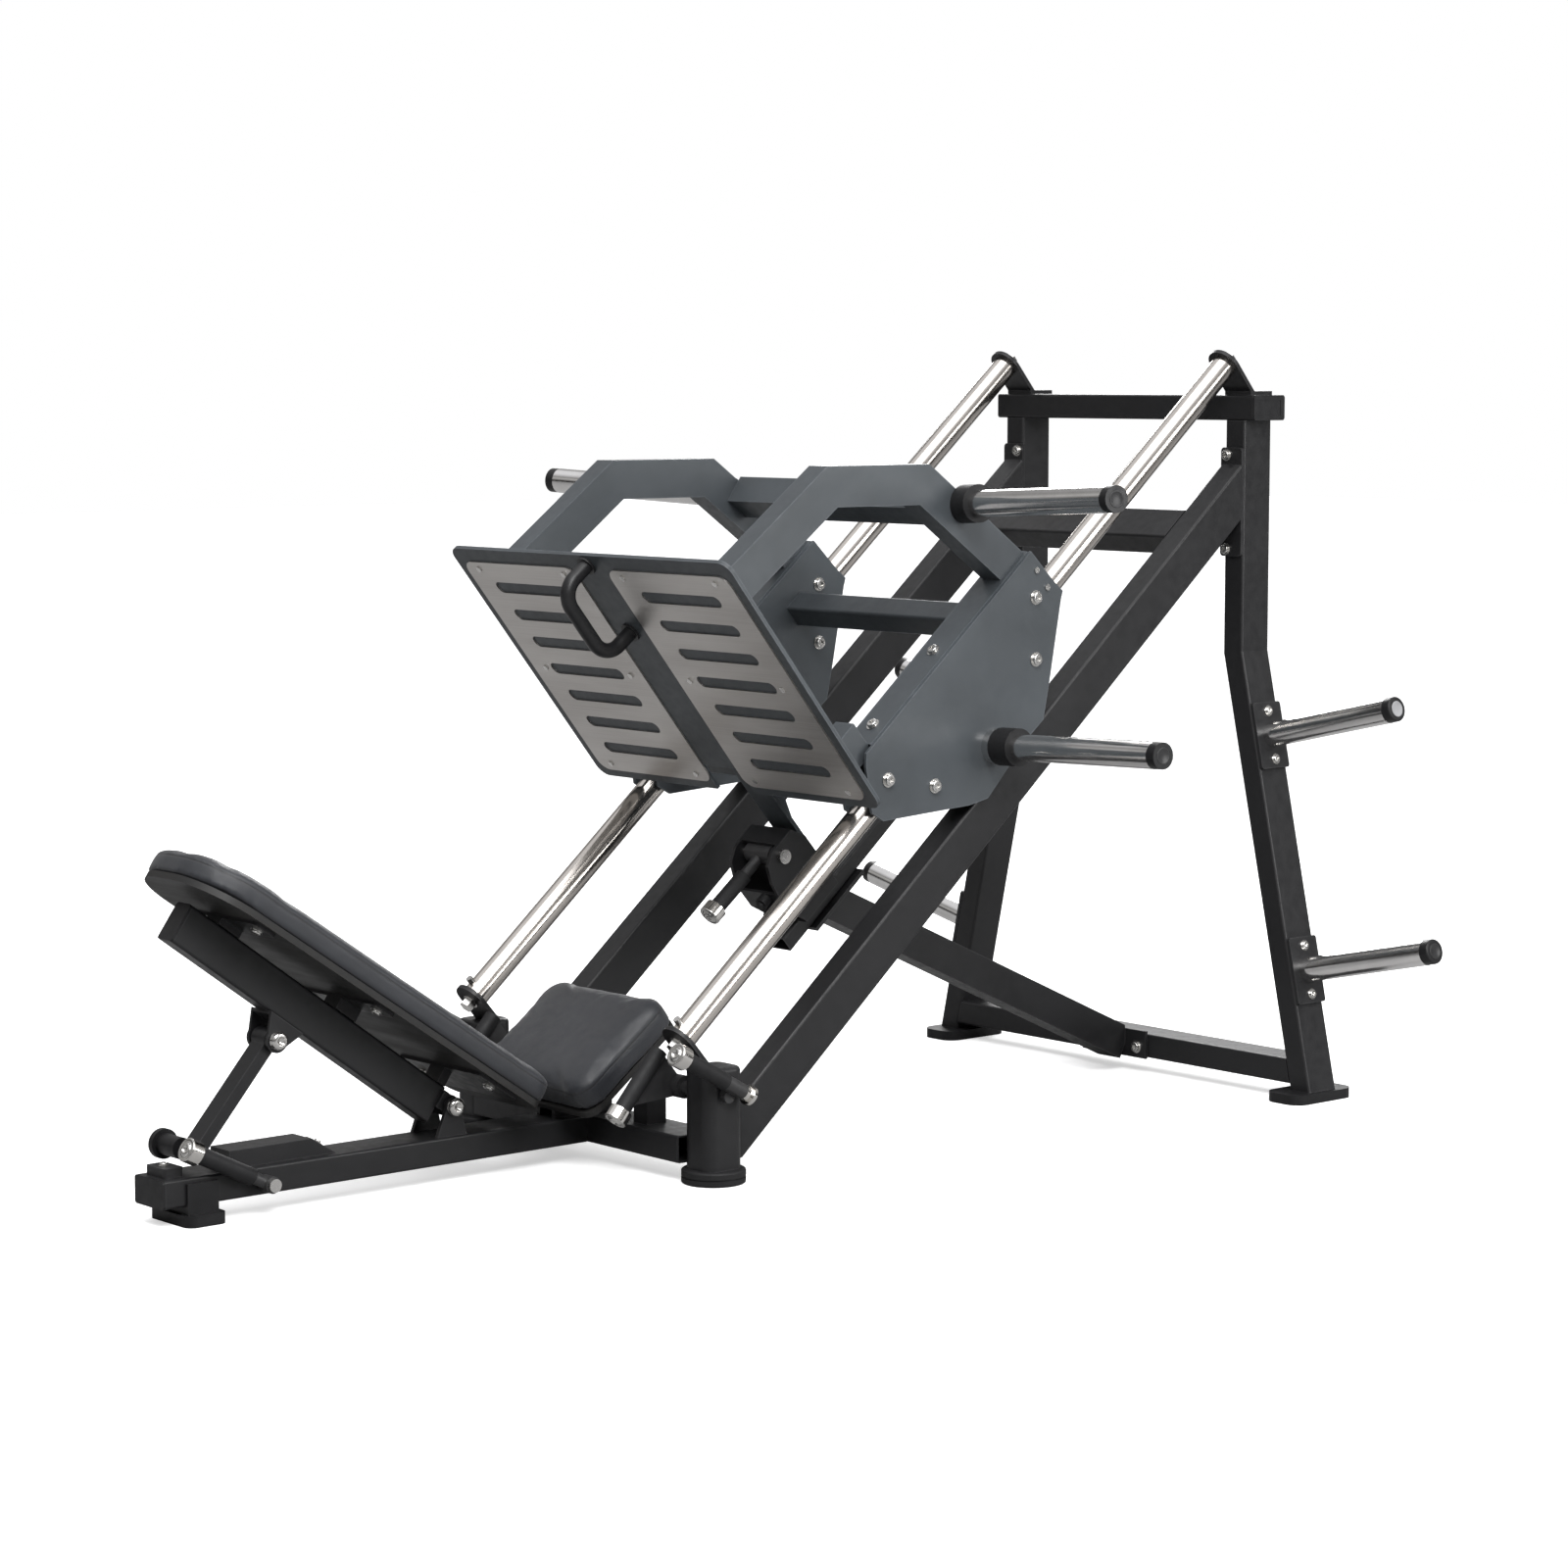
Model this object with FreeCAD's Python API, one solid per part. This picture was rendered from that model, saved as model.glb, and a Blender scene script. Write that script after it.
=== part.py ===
import FreeCAD, Part
import math
import os

os.makedirs("parts", exist_ok=True)

V = FreeCAD.Vector

# ---------------------------------------------------------------- driving dimensions (mm, degrees)
# Layout axes: X runs from the backrest end to the tall rear frame, Y across, Z up from the floor.
SHIFT_X = -892.0            # layout X moved so that the machine is centred on its own box

WALL = 3.0                  # wall of every square tube
TUBE_RADIUS = 5.0           # rounded corner of every square tube
FIT = 0.05                  # radial clearance of every turning or sliding pair

ROD_ANGLE = 40.63           # slope of the guide rods above the floor
ROD_X, ROD_Z = 572.0, 259.6  # lower end of the rod axis
ROD_Y = 312.0               # half the distance between the rods
ROD_RADIUS = 25.0
ROD_LENGTH = 1842.0
END_PLATE = 8.0             # plates that hold the two ends of the rods

RAIL_TOP, RAIL_BOTTOM = -166.0, -251.0   # main rail, measured square to the rods
RAIL_HALF = 27.5

BASE_LOW, BASE_HIGH = 34.0, 84.0         # height of the base tubes above the floor
BASE_START, BASE_END = -338.0, 567.0
BASE_HALF = 45.0
CROSS_FRONT, CROSS_REAR = 567.0, 662.0
POST_FRONT, POST_REAR = 577.0, 662.0
POST_IN, POST_OUT = 307.0, 383.0
POST_TOP = 212.0

LEG_FRONT, LEG_REAR = 2002.0, 2082.0
LEG_Y = 315.0               # centre of the upright part of a rear leg
LEG_HALF = 25.0
LEG_BEND_Z = 887.0
LEG_SPLAY = 12.71           # outward slope of the lower part of a rear leg
FOOT_TOP = 20.0
BAR_LOW, BAR_HIGH = 1351.0, 1401.0       # top crossbar
BAR_FRONT, BAR_REAR = 2002.0, 2092.0
BAR_HALF = 362.0
REAR_BAR_LOW, REAR_BAR_HIGH = 32.0, 82.0

HORN_RADIUS = 25.0
CAP_RADIUS = 24.6           # end caps stay inside the horn so that plates slide over them
PLATE = 6.0                 # carriage side plates
SIDE_IN, SIDE_OUT = 272.0, 352.0         # inner and outer faces of a carriage side box
BOX_TOP = 108.0             # top of a side box, square to the rods
COVER = 8.0

BACK_PIVOT_X, BACK_PIVOT_Z = 267.0, 138.0
BACK_ANGLE = 35.7           # slope of the back tube
PAD_ANGLE = 33.9            # slope of the back cushion
PAD_X, PAD_Z = 269.0, 280.0  # a point on the top face of the back cushion
STRUT_TOP_X, STRUT_TOP_Z = -100.0, 297.0
STRUT_FOOT_X, STRUT_FOOT_Z = -255.0, 118.0

SEAT_X, SEAT_Z = 450.0, 158.0            # rear edge of the top face of the seat cushion
SEAT_ANGLE = 37.2
BOARD = 12.0                # plywood under each cushion

PLATE_TILT = 1.7            # foot plate against the square to the rods
FOOT_PLATE_HALF = 412.0
FOOT_PLATE_LOW, FOOT_PLATE_HIGH = -8.0, 583.0
FOOT_SHEET = 8.0            # thickness of the foot plate
BAR_BACK = 52.0             # back of the two bars that carry the foot plate
TREAD = 3.0
PAD_TOP_END = 664.0         # top end of the back cushion, up its slope

LEVER_X, LEVER_Z = 614.0, 163.0          # hinge line of the two hand levers
SHAFT_RADIUS = 12.0         # shaft of a hand lever
LEVER_IN, LEVER_OUT = 250.0, 405.0       # planes of its inner and outer grips
ADJUST_X, ADJUST_Z = -140.0, 55.0        # hinge of the backrest release lever
ADJUST_Y = -62.0            # plane of its grip, beside the base rail
STOP_ALONG, STOP_PERP = 524.0, -95.0     # hinge of the carriage stop lever, in rod axes


# ---------------------------------------------------------------- shape helpers
def box(x, y, z):
    """A block between the three (low, high) pairs."""
    return Part.makeBox(x[1] - x[0], y[1] - y[0], z[1] - z[0], V(x[0], y[0], z[0]))


def rounded(x, y, z, radius, axis):
    """A block whose four edges along one axis are rounded."""
    block = box(x, y, z)
    direction = {"x": V(1, 0, 0), "y": V(0, 1, 0), "z": V(0, 0, 1)}[axis]
    edges = []
    for edge in block.Edges:
        run = edge.Vertexes[1].Point - edge.Vertexes[0].Point
        if abs(run.dot(direction)) > 0.99 * run.Length:
            edges.append(edge)
    return block.makeFillet(radius, edges)


def tube(x, y, z, axis, wall=WALL):
    """A square tube, open at both ends, running along one axis."""
    spans = {"x": x, "y": y, "z": z}
    inner = {}
    for name, (low, high) in spans.items():
        if name == axis:
            inner[name] = (low - 10, high + 10)
        else:
            inner[name] = (low + wall, high - wall)
    return rounded(x, y, z, TUBE_RADIUS, axis).cut(box(inner["x"], inner["y"], inner["z"]))


def rod(start, end, radius):
    """A round bar between two points."""
    run = end - start
    return Part.makeCylinder(radius, run.Length, start, run)


def ring(centre, axis, outer, inner, height):
    """A round washer or collar with a through hole."""
    body = Part.makeCylinder(outer, height, centre, axis)
    return body.cut(Part.makeCylinder(inner, height + 2, centre - axis * 1.0, axis))


def prism_y(points, y0, y1):
    """An (x, z) outline pulled out along Y."""
    corners = [V(x, y0, z) for x, z in points]
    face = Part.Face(Part.makePolygon(corners + corners[:1]))
    return face.extrude(V(0, y1 - y0, 0))


def prism_x(points, x0, x1):
    """A (y, z) outline pulled out along X."""
    corners = [V(x0, y, z) for y, z in points]
    face = Part.Face(Part.makePolygon(corners + corners[:1]))
    return face.extrude(V(x1 - x0, 0, 0))


def sidestep(points, distance):
    """A polyline moved sideways by a distance, its corners mitred."""
    moved = []
    for i, (a, b) in enumerate(points):
        before = points[max(i - 1, 0)]
        after = points[min(i + 1, len(points) - 1)]
        first = V(a - before[0], b - before[1], 0)
        second = V(after[0] - a, after[1] - b, 0)
        if first.Length < 1e-6:
            first = second
        if second.Length < 1e-6:
            second = first
        first = first.normalize()
        second = second.normalize()
        mitre = V(-first.y - second.y, first.x + second.x, 0)
        step = distance / (1.0 + first.dot(second))
        moved.append((a + mitre.x * step, b + mitre.y * step))
    return moved


def band(points, left, right):
    """The closed outline between two sidesteps of one polyline."""
    return sidestep(points, left) + sidestep(points, right)[::-1]


def fillet_edges(shape, radius, chosen):
    """The shape with the edges picked by a test function rounded."""
    edges = [edge for edge in shape.Edges if chosen(edge)]
    return shape.makeFillet(radius, edges)


def mirrored(shapes):
    """Each shape and its twin on the other side of the machine."""
    twins = [shape.mirror(V(0, 0, 0), V(0, 1, 0)) for shape in shapes]
    return list(shapes) + twins


def placed(shape, placement):
    """A copy of the shape moved by a placement."""
    copy = shape.copy()
    copy.Placement = placement.multiply(copy.Placement)
    return copy


ROD_FRAME = FreeCAD.Placement(V(ROD_X, 0, ROD_Z), FreeCAD.Rotation(V(0, 1, 0), -ROD_ANGLE))
LEG_FRAME = FreeCAD.Placement(V(0, LEG_Y, LEG_BEND_Z), FreeCAD.Rotation(V(1, 0, 0), LEG_SPLAY))
SEAT_FRAME = FreeCAD.Placement(V(SEAT_X, 0, SEAT_Z), FreeCAD.Rotation(V(0, 1, 0), -SEAT_ANGLE))
PLATE_FRAME = ROD_FRAME.multiply(
    FreeCAD.Placement(V(555, 0, 51), FreeCAD.Rotation(V(0, 1, 0), PLATE_TILT))
)


def sloping_back(x, z, angle):
    """Axes of something leaning back: x up the slope towards the backrest end, z out of its face."""
    up = V(-math.cos(math.radians(angle)), 0, math.sin(math.radians(angle)))
    out = V(math.sin(math.radians(angle)), 0, math.cos(math.radians(angle)))
    return FreeCAD.Placement(V(x, 0, z), FreeCAD.Rotation(up, V(0, -1, 0), out, "XYZ"))


BACK_FRAME = sloping_back(BACK_PIVOT_X, BACK_PIVOT_Z, BACK_ANGLE)
PAD_FRAME = sloping_back(PAD_X, PAD_Z, PAD_ANGLE)


def on_rods(shape):
    """From rod axes (along the rods, across, square to the rods) to the machine."""
    return placed(shape, ROD_FRAME)


def on_leg(shape):
    """From the axes of the splayed left leg (X, outwards, up the leg) to the machine."""
    return placed(shape, LEG_FRAME)


def on_seat(shape):
    """From seat axes (up the slope, across, out of the cushion) to the machine."""
    return placed(shape, SEAT_FRAME)


def on_back(shape):
    """From back tube axes to the machine."""
    return placed(shape, BACK_FRAME)


def on_pad(shape):
    """From back cushion axes to the machine."""
    return placed(shape, PAD_FRAME)


def on_plate(shape):
    """From foot plate axes (into the plate, across, up the plate) to the machine."""
    return placed(shape, PLATE_FRAME)


def socket_bolt(base, axis, radius=10.0, height=7.0):
    """A round bolt head with a washer and a hexagon socket, standing on a face."""
    washer = Part.makeCylinder(radius + 3.0, 2.0)
    head = Part.makeCylinder(radius, height, V(0, 0, 2.0))
    head = fillet_edges(head, 2.0, lambda edge: edge.BoundBox.ZMin > height + 1.0)
    corners = []
    for k in range(7):
        turn = math.radians(60 * k)
        corners.append(V(0.5 * radius * math.cos(turn), 0.5 * radius * math.sin(turn), height - 2.0))
    socket = Part.Face(Part.makePolygon(corners)).extrude(V(0, 0, 10))
    head = washer.fuse(head).cut(socket)
    return placed(head, FreeCAD.Placement(base, FreeCAD.Rotation(V(0, 0, 1), axis)))


def hex_bolt(base, axis, across=24.0, height=18.0):
    """A hexagon bolt head with a washer, standing on a face."""
    washer = Part.makeCylinder(0.68 * across, 3.0)
    corners = []
    for k in range(7):
        turn = math.radians(60 * k)
        corners.append(V(across / 1.732 * math.cos(turn), across / 1.732 * math.sin(turn), 3.0))
    head = Part.Face(Part.makePolygon(corners)).extrude(V(0, 0, height - 3.0))
    return placed(washer.fuse(head), FreeCAD.Placement(base, FreeCAD.Rotation(V(0, 0, 1), axis)))


def export(name, shapes):
    """Write one node, moved to the shared origin."""
    moved = []
    for shape in shapes:
        copy = shape.copy()
        copy.translate(V(SHIFT_X, 0, 0))
        moved.append(copy)
    body = moved[0] if len(moved) == 1 else Part.makeCompound(moved)
    body.exportStep("parts/" + name + ".step")


# ---------------------------------------------------------------- base
export("base_rail", [tube((BASE_START, BASE_END), (-BASE_HALF, BASE_HALF), (BASE_LOW, BASE_HIGH), "x")])

rail_cap = rounded((BASE_START - 5, BASE_START), (-BASE_HALF, BASE_HALF), (BASE_LOW, BASE_HIGH), 6, "x")
bar_cap = rounded((BAR_FRONT, BAR_REAR), (BAR_HALF, BAR_HALF + 4), (BAR_LOW, BAR_HIGH), 6, "y")
bar_cap = bar_cap.cut(box((BAR_FRONT + 12, BAR_REAR - 12), (BAR_HALF + 3, BAR_HALF + 6),
                          (BAR_LOW + 10, BAR_HIGH - 10)))
export("tube_end_caps", [rail_cap] + mirrored([bar_cap]))

pad = rounded((-305, -225), (-66, 66), (0, FOOT_TOP), 18, "z")
pedestal = box((-297, -235), (-50, 50), (FOOT_TOP, BASE_LOW))
cheeks = mirrored([box((-297, -235), (BASE_HALF, 50), (BASE_LOW, 74))])
export("seat_end_foot", [pad.multiFuse([pedestal] + cheeks).removeSplitter()])

cross_tube = tube((CROSS_FRONT, CROSS_REAR), (-POST_IN, POST_IN), (BASE_LOW, BASE_HIGH), "y")
lever_post = box((LEVER_X - 22, LEVER_X + 22), (150, 190), (BASE_HIGH, LEVER_Z))
lever_post = lever_post.fuse(rod(V(LEVER_X, 150, LEVER_Z), V(LEVER_X, 190, LEVER_Z), 22))
lever_post = lever_post.cut(rod(V(LEVER_X, 140, LEVER_Z), V(LEVER_X, 200, LEVER_Z), SHAFT_RADIUS + FIT))
export("front_cross_tube", [cross_tube.multiFuse(mirrored([lever_post])).removeSplitter()])

post = rounded((POST_FRONT, POST_REAR), (POST_IN, POST_OUT), (26, POST_TOP), 22, "z")
post = fillet_edges(post, 9, lambda edge: edge.BoundBox.ZMin > POST_TOP - 1)
post = post.cut(rod(V(LEVER_X, 290, LEVER_Z), V(LEVER_X, 400, LEVER_Z), SHAFT_RADIUS + FIT))
export("front_posts", mirrored([post]))

post_x = (POST_FRONT + POST_REAR) / 2
post_y = (POST_IN + POST_OUT) / 2
disc = Part.makeCylinder(58.5, 26, V(post_x, post_y, 0))
disc = fillet_edges(disc, 4, lambda edge: edge.BoundBox.ZLength < 1)
disc = disc.cut(ring(V(post_x, post_y, 11), V(0, 0, 1), 70, 56.5, 3))
export("front_feet", mirrored([disc]))

# ---------------------------------------------------------------- rails, legs and crossbars
rail = on_rods(tube((-200, 2100), (ROD_Y - RAIL_HALF, ROD_Y + RAIL_HALF), (RAIL_BOTTOM, RAIL_TOP), "x"))
rail = rail.common(box((POST_REAR, LEG_FRONT - 6), (0, 500), (BASE_LOW, 1500)))
rail_flange = rounded((LEG_FRONT - 6, LEG_FRONT), (ROD_Y - 28, ROD_Y + 28), (1080, 1297), 8, "x")
export("main_rails", mirrored([rail.fuse(rail_flange).removeSplitter()]))

rail_tie = tube((1520, 1600), (RAIL_HALF - ROD_Y, ROD_Y - RAIL_HALF), (RAIL_TOP - 50, RAIL_TOP), "y")
export("rail_cross_tube", [on_rods(rail_tie)])

slope = math.tan(math.radians(LEG_SPLAY))
leg_line = [(LEG_Y, BAR_LOW), (LEG_Y, LEG_BEND_Z), (LEG_Y + slope * LEG_BEND_Z, 0)]
leg = prism_x(band(leg_line, LEG_HALF, -LEG_HALF), LEG_FRONT, LEG_REAR)
leg = leg.common(box((LEG_FRONT, LEG_REAR), (0, 700), (FOOT_TOP, BAR_LOW)))
leg_solid = leg
leg = fillet_edges(leg, TUBE_RADIUS, lambda edge: edge.BoundBox.XLength < 1 and edge.BoundBox.ZLength > 100)
leg_core = prism_x(band(leg_line, LEG_HALF - WALL, WALL - LEG_HALF), LEG_FRONT + WALL, LEG_REAR - WALL)
export("rear_legs", mirrored([leg.cut(leg_core)]))

foot_plan = rounded((1955, 2127), (455, 548), (0, FOOT_TOP), 30, "z")
export("rear_feet", mirrored([foot_plan]))

export("top_crossbar", [tube((BAR_FRONT, BAR_REAR), (-BAR_HALF, BAR_HALF), (BAR_LOW, BAR_HIGH), "y")])

rear_bar = tube((LEG_FRONT, LEG_REAR), (-520, 520), (REAR_BAR_LOW, REAR_BAR_HIGH), "y")
for side in mirrored([leg_solid]):
    rear_bar = rear_bar.cut(side)
rear_bar = max(rear_bar.Solids, key=lambda solid: solid.Volume)
export("rear_crossbar", [rear_bar])

# ---------------------------------------------------------------- guide rods and the plates that hold them
export("guide_rods", mirrored([on_rods(rod(V(0, ROD_Y, 0), V(ROD_LENGTH, ROD_Y, 0), ROD_RADIUS))]))

lower_plate = box((-END_PLATE, 0), (ROD_Y - 36, ROD_Y + 36), (-120, 0))
lower_plate = on_rods(lower_plate.fuse(rod(V(-END_PLATE, ROD_Y, 0), V(0, ROD_Y, 0), 36)))
lower_plate = lower_plate.common(box((300, 900), (0, 600), (POST_TOP, 600)))
upper_plate = box((ROD_LENGTH, ROD_LENGTH + END_PLATE), (ROD_Y - 35, ROD_Y + 35), (-120, 0))
upper_plate = upper_plate.fuse(rod(V(ROD_LENGTH, ROD_Y, 0), V(ROD_LENGTH + END_PLATE, ROD_Y, 0), 35))
upper_plate = on_rods(upper_plate).common(box((1900, 2100), (0, 600), (BAR_HIGH, 1600)))
upper_foot = box((2013, 2075), (ROD_Y - 35, ROD_Y + 35), (BAR_HIGH, BAR_HIGH + END_PLATE))
export("rod_end_plates", mirrored([lower_plate, upper_plate.fuse(upper_foot).removeSplitter()]))

# ---------------------------------------------------------------- centre brace and carriage stop
brace_line = [(1000, 507.0), (LEG_FRONT - 6, 57.0)]
brace = prism_y(band(brace_line, 34, -34), -32, 32)
brace = brace.cut(prism_y(band(brace_line, 31, -31), -29, 29))
brace = brace.common(on_rods(box((300, 2500), (-50, 50), (-2000, -278))))
brace = brace.common(box((900, LEG_FRONT - 6), (-50, 50), (20, 600)))
brace_foot = box((LEG_FRONT - 6, LEG_FRONT), (-91, 91), (30, 88))
brace_head = on_rods(box((500, 660), (-45, 45), (-278, -270)))
export("centre_brace", [brace.multiFuse([brace_foot, brace_head]).removeSplitter()])

export("stop_channel", [on_rods(tube((436, 950), (-30, 30), (-270, -235), "x"))])

bracket_side = [(484, -85), (512, -70), (572, -70), (590, -104), (591, -229), (484, -229), (467, -190), (467, -144),
                (471, -116)]
bracket_cheeks = mirrored([prism_y(bracket_side, 50, 58)])
bracket_base = box((484, 591), (-58, 58), (-235, -229))
bracket_top = box((530, 572), (-50, 50), (-76, -70))
bumper_wall = box((467, 473), (-50, 50), (-190, -144))
bracket = bracket_base.multiFuse(bracket_cheeks + [bracket_top, bumper_wall])
bracket = bracket.cut(rod(V(STOP_ALONG, -70, STOP_PERP), V(STOP_ALONG, 70, STOP_PERP), 8))
export("stop_bracket", [on_rods(bracket.removeSplitter())])

bumpers = []
for perp in (-157, -184):
    disc = rod(V(467, -14, perp), V(449, -14, perp), 13)
    disc = disc.fuse(rod(V(449, -14, perp), V(443, -14, perp), 8))
    bumpers.append(on_rods(disc.removeSplitter()))
export("stop_bumpers", bumpers)

# ---------------------------------------------------------------- storage horns
storage_plates = []
storage_horns = []
storage_caps = []
STORAGE_X = 2044.0
STORAGE_DOWN = (-175.5, -651.0)          # two horn centres down the splayed leg
plate_face = LEG_HALF + 8
for down in STORAGE_DOWN:
    plate = rounded((LEG_FRONT + 1, LEG_REAR + 1), (LEG_HALF, plate_face), (down - 67, down + 67), 6, "y")
    storage_plates.append(on_leg(plate))
    start = V(STORAGE_X, plate_face, down)
    storage_horns.append(on_leg(rod(start, start + V(0, 313, 0), HORN_RADIUS)))
    cap = rod(start + V(0, 313, 0), start + V(0, 333, 0), CAP_RADIUS)
    cap = fillet_edges(cap, 4, lambda edge: edge.BoundBox.YMin > plate_face + 330)
    storage_caps.append(on_leg(cap))
export("storage_plates", mirrored(storage_plates))
export("storage_horns", mirrored(storage_horns))
export("storage_horn_caps", mirrored(storage_caps))

# ---------------------------------------------------------------- seat
seat_board = on_seat(rounded((0, 250), (-160, 160), (-70, -70 + BOARD), 25, "z"))
export("seat_board", [seat_board])
seat_pad = rounded((-4, 262), (-175, 175), (-70 + BOARD, 0), 45, "z")
seat_pad = fillet_edges(seat_pad, 16, lambda edge: edge.BoundBox.ZMin > -1)
export("seat_pad", [on_seat(seat_pad)])

seat_low = on_seat(box((-300, 500), (-300, 300), (-400, -70)))
support_web = prism_y([(505, BASE_HIGH), (640, BASE_HIGH), (640, 300), (505, 300)], 18, 26).common(seat_low)
support_top = on_seat(box((25, 200), (-60, 60), (-76, -70))).common(box((300, 900), (-60, 60), (BASE_HIGH, 400)))
support = support_top.multiFuse(mirrored([support_web])).removeSplitter()
export("seat_support", [support])

# ---------------------------------------------------------------- backrest mounting and its adjuster
ear = [(230, BASE_HIGH), (294, BASE_HIGH), (282, BACK_PIVOT_Z), (252, BACK_PIVOT_Z)]
ears = []
for y in (34, -42):
    plate = prism_y(ear, y, y + 8)
    plate = plate.fuse(rod(V(BACK_PIVOT_X, y, BACK_PIVOT_Z), V(BACK_PIVOT_X, y + 8, BACK_PIVOT_Z), 17))
    plate = plate.cut(rod(V(BACK_PIVOT_X, y - 5, BACK_PIVOT_Z), V(BACK_PIVOT_X, y + 13, BACK_PIVOT_Z), 10))
    ears.append(plate.removeSplitter())
export("back_pivot_ears", ears)

back_pin = rod(V(BACK_PIVOT_X, -44, BACK_PIVOT_Z), V(BACK_PIVOT_X, 44, BACK_PIVOT_Z), 10)
back_heads = mirrored([rod(V(BACK_PIVOT_X, 42, BACK_PIVOT_Z), V(BACK_PIVOT_X, 52, BACK_PIVOT_Z), 16)])
stop_pin = rod(V(STOP_ALONG, -60, STOP_PERP), V(STOP_ALONG, 60, STOP_PERP), 8)
stop_heads = mirrored([rod(V(STOP_ALONG, 58, STOP_PERP), V(STOP_ALONG, 66, STOP_PERP), 14)])
adjust_pin = rod(V(ADJUST_X, -BASE_HALF, ADJUST_Z), V(ADJUST_X, -76, ADJUST_Z), 7)
adjust_head = rod(V(ADJUST_X, -75, ADJUST_Z), V(ADJUST_X, -82, ADJUST_Z), 12)
export("pivot_bolts", [
    back_pin.multiFuse(back_heads).removeSplitter(),
    on_rods(stop_pin.multiFuse(stop_heads).removeSplitter()),
    adjust_pin.fuse(adjust_head).removeSplitter(),
])

TRACK_TOP = 116.0
track = prism_y([(-200, BASE_HIGH), (20, BASE_HIGH), (-30, TRACK_TOP), (-200, TRACK_TOP)], -30, 30)
export("adjuster_track", [track])
block = rounded((-330, -292), (-30, 30), (BASE_HIGH, 101), 5, "z")
export("adjuster_block", [block])

# ---------------------------------------------------------------- backrest
TUBE_LOW, TUBE_TOP = -48.5, 24.0
TUBE_END = 665.0
back_tube = tube((22, TUBE_END), (-22, 22), (TUBE_LOW, TUBE_TOP), "x")
pivot_lug = box((-14, 26), (-30, 30), (-17, 17)).fuse(rod(V(0, -30, 0), V(0, 30, 0), 19))
pivot_lug = pivot_lug.common(box((-19, 26), (-30, 30), (-19, 19)))
pivot_lug = pivot_lug.cut(rod(V(0, -40, 0), V(0, 40, 0), 10 + FIT))
strut_s = (BACK_PIVOT_X - STRUT_TOP_X) * math.cos(math.radians(BACK_ANGLE))
strut_s = strut_s + (STRUT_TOP_Z - BACK_PIVOT_Z) * math.sin(math.radians(BACK_ANGLE))
strut_h = -(BACK_PIVOT_X - STRUT_TOP_X) * math.sin(math.radians(BACK_ANGLE))
strut_h = strut_h + (STRUT_TOP_Z - BACK_PIVOT_Z) * math.cos(math.radians(BACK_ANGLE))
clevis_side = [(strut_s - 40, TUBE_LOW), (strut_s + 40, TUBE_LOW), (strut_s + 22, strut_h), (strut_s - 22, strut_h)]
clevis = []
for y in (26, -32):
    cheek = prism_y(clevis_side, y, y + 6).fuse(rod(V(strut_s, y, strut_h), V(strut_s, y + 6, strut_h), 22))
    cheek = cheek.cut(rod(V(strut_s, y - 5, strut_h), V(strut_s, y + 11, strut_h), 9))
    clevis.append(cheek)
clevis_web = box((strut_s - 40, strut_s + 40), (-26, 26), (TUBE_LOW - 6, TUBE_LOW))
back_frame = back_tube.multiFuse([pivot_lug, clevis_web] + clevis).removeSplitter()
export("back_tube", [on_back(back_frame)])
export("back_tube_cap", [on_back(rounded((TUBE_END, TUBE_END + 5), (-22, 22), (TUBE_LOW, TUBE_TOP), 6, "x"))])

pin = rod(V(strut_s, -34, strut_h), V(strut_s, 34, strut_h), 9)
pin_heads = mirrored([rod(V(strut_s, 32, strut_h), V(strut_s, 41, strut_h), 15)])
back_bolts = [on_back(pin.multiFuse(pin_heads).removeSplitter())]
BRACKETS = ((500, 475, 525, 475, 525), (207, 182, 232, 182, 232), (-84, -140, -35, -54, -35))
tube_room = on_back(box((-100, 800), (-30, 30), (-200, TUBE_TOP)))
brackets = []
for bolt_at, start, end, web_start, web_end in BRACKETS:
    plate = rounded((start, end), (-125, 125), (-65, -59), 10, "z")
    web = box((web_start, web_end), (-22, 22), (-130, -60))
    bracket = on_pad(plate.fuse(web)).cut(tube_room)
    brackets.append(max(bracket.Solids, key=lambda solid: solid.Volume).removeSplitter())
    for y in (-100, 100):
        back_bolts.append(on_pad(socket_bolt(V(bolt_at, y, -65), V(0, 0, -1), 9, 5)))
export("pad_brackets", brackets)
export("back_bolts", back_bolts)


def upright_edges(edge):
    """True for the short edges square to a slab."""
    return edge.BoundBox.ZLength > 5


def round_corners(slab, big, small):
    """Round the four upright corners of a slab, the far pair more than the near pair."""
    far = slab.BoundBox.XMax - 1
    slab = fillet_edges(slab, big, lambda e: upright_edges(e) and e.BoundBox.XMin > far)
    near = slab.BoundBox.XMin + 1
    return fillet_edges(slab, small, lambda e: upright_edges(e) and e.BoundBox.XMax < near)


back_board = round_corners(box((-187, PAD_TOP_END - 12), (-138, 138), (-59, -47)), 118, 28)
export("back_board", [on_pad(back_board)])
back_pad = round_corners(box((-199, PAD_TOP_END), (-150, 150), (-47, 0)), 130, 40)
back_pad = fillet_edges(back_pad, 14, lambda e: e.BoundBox.ZMin > -1)
export("back_pad", [on_pad(back_pad)])

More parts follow.
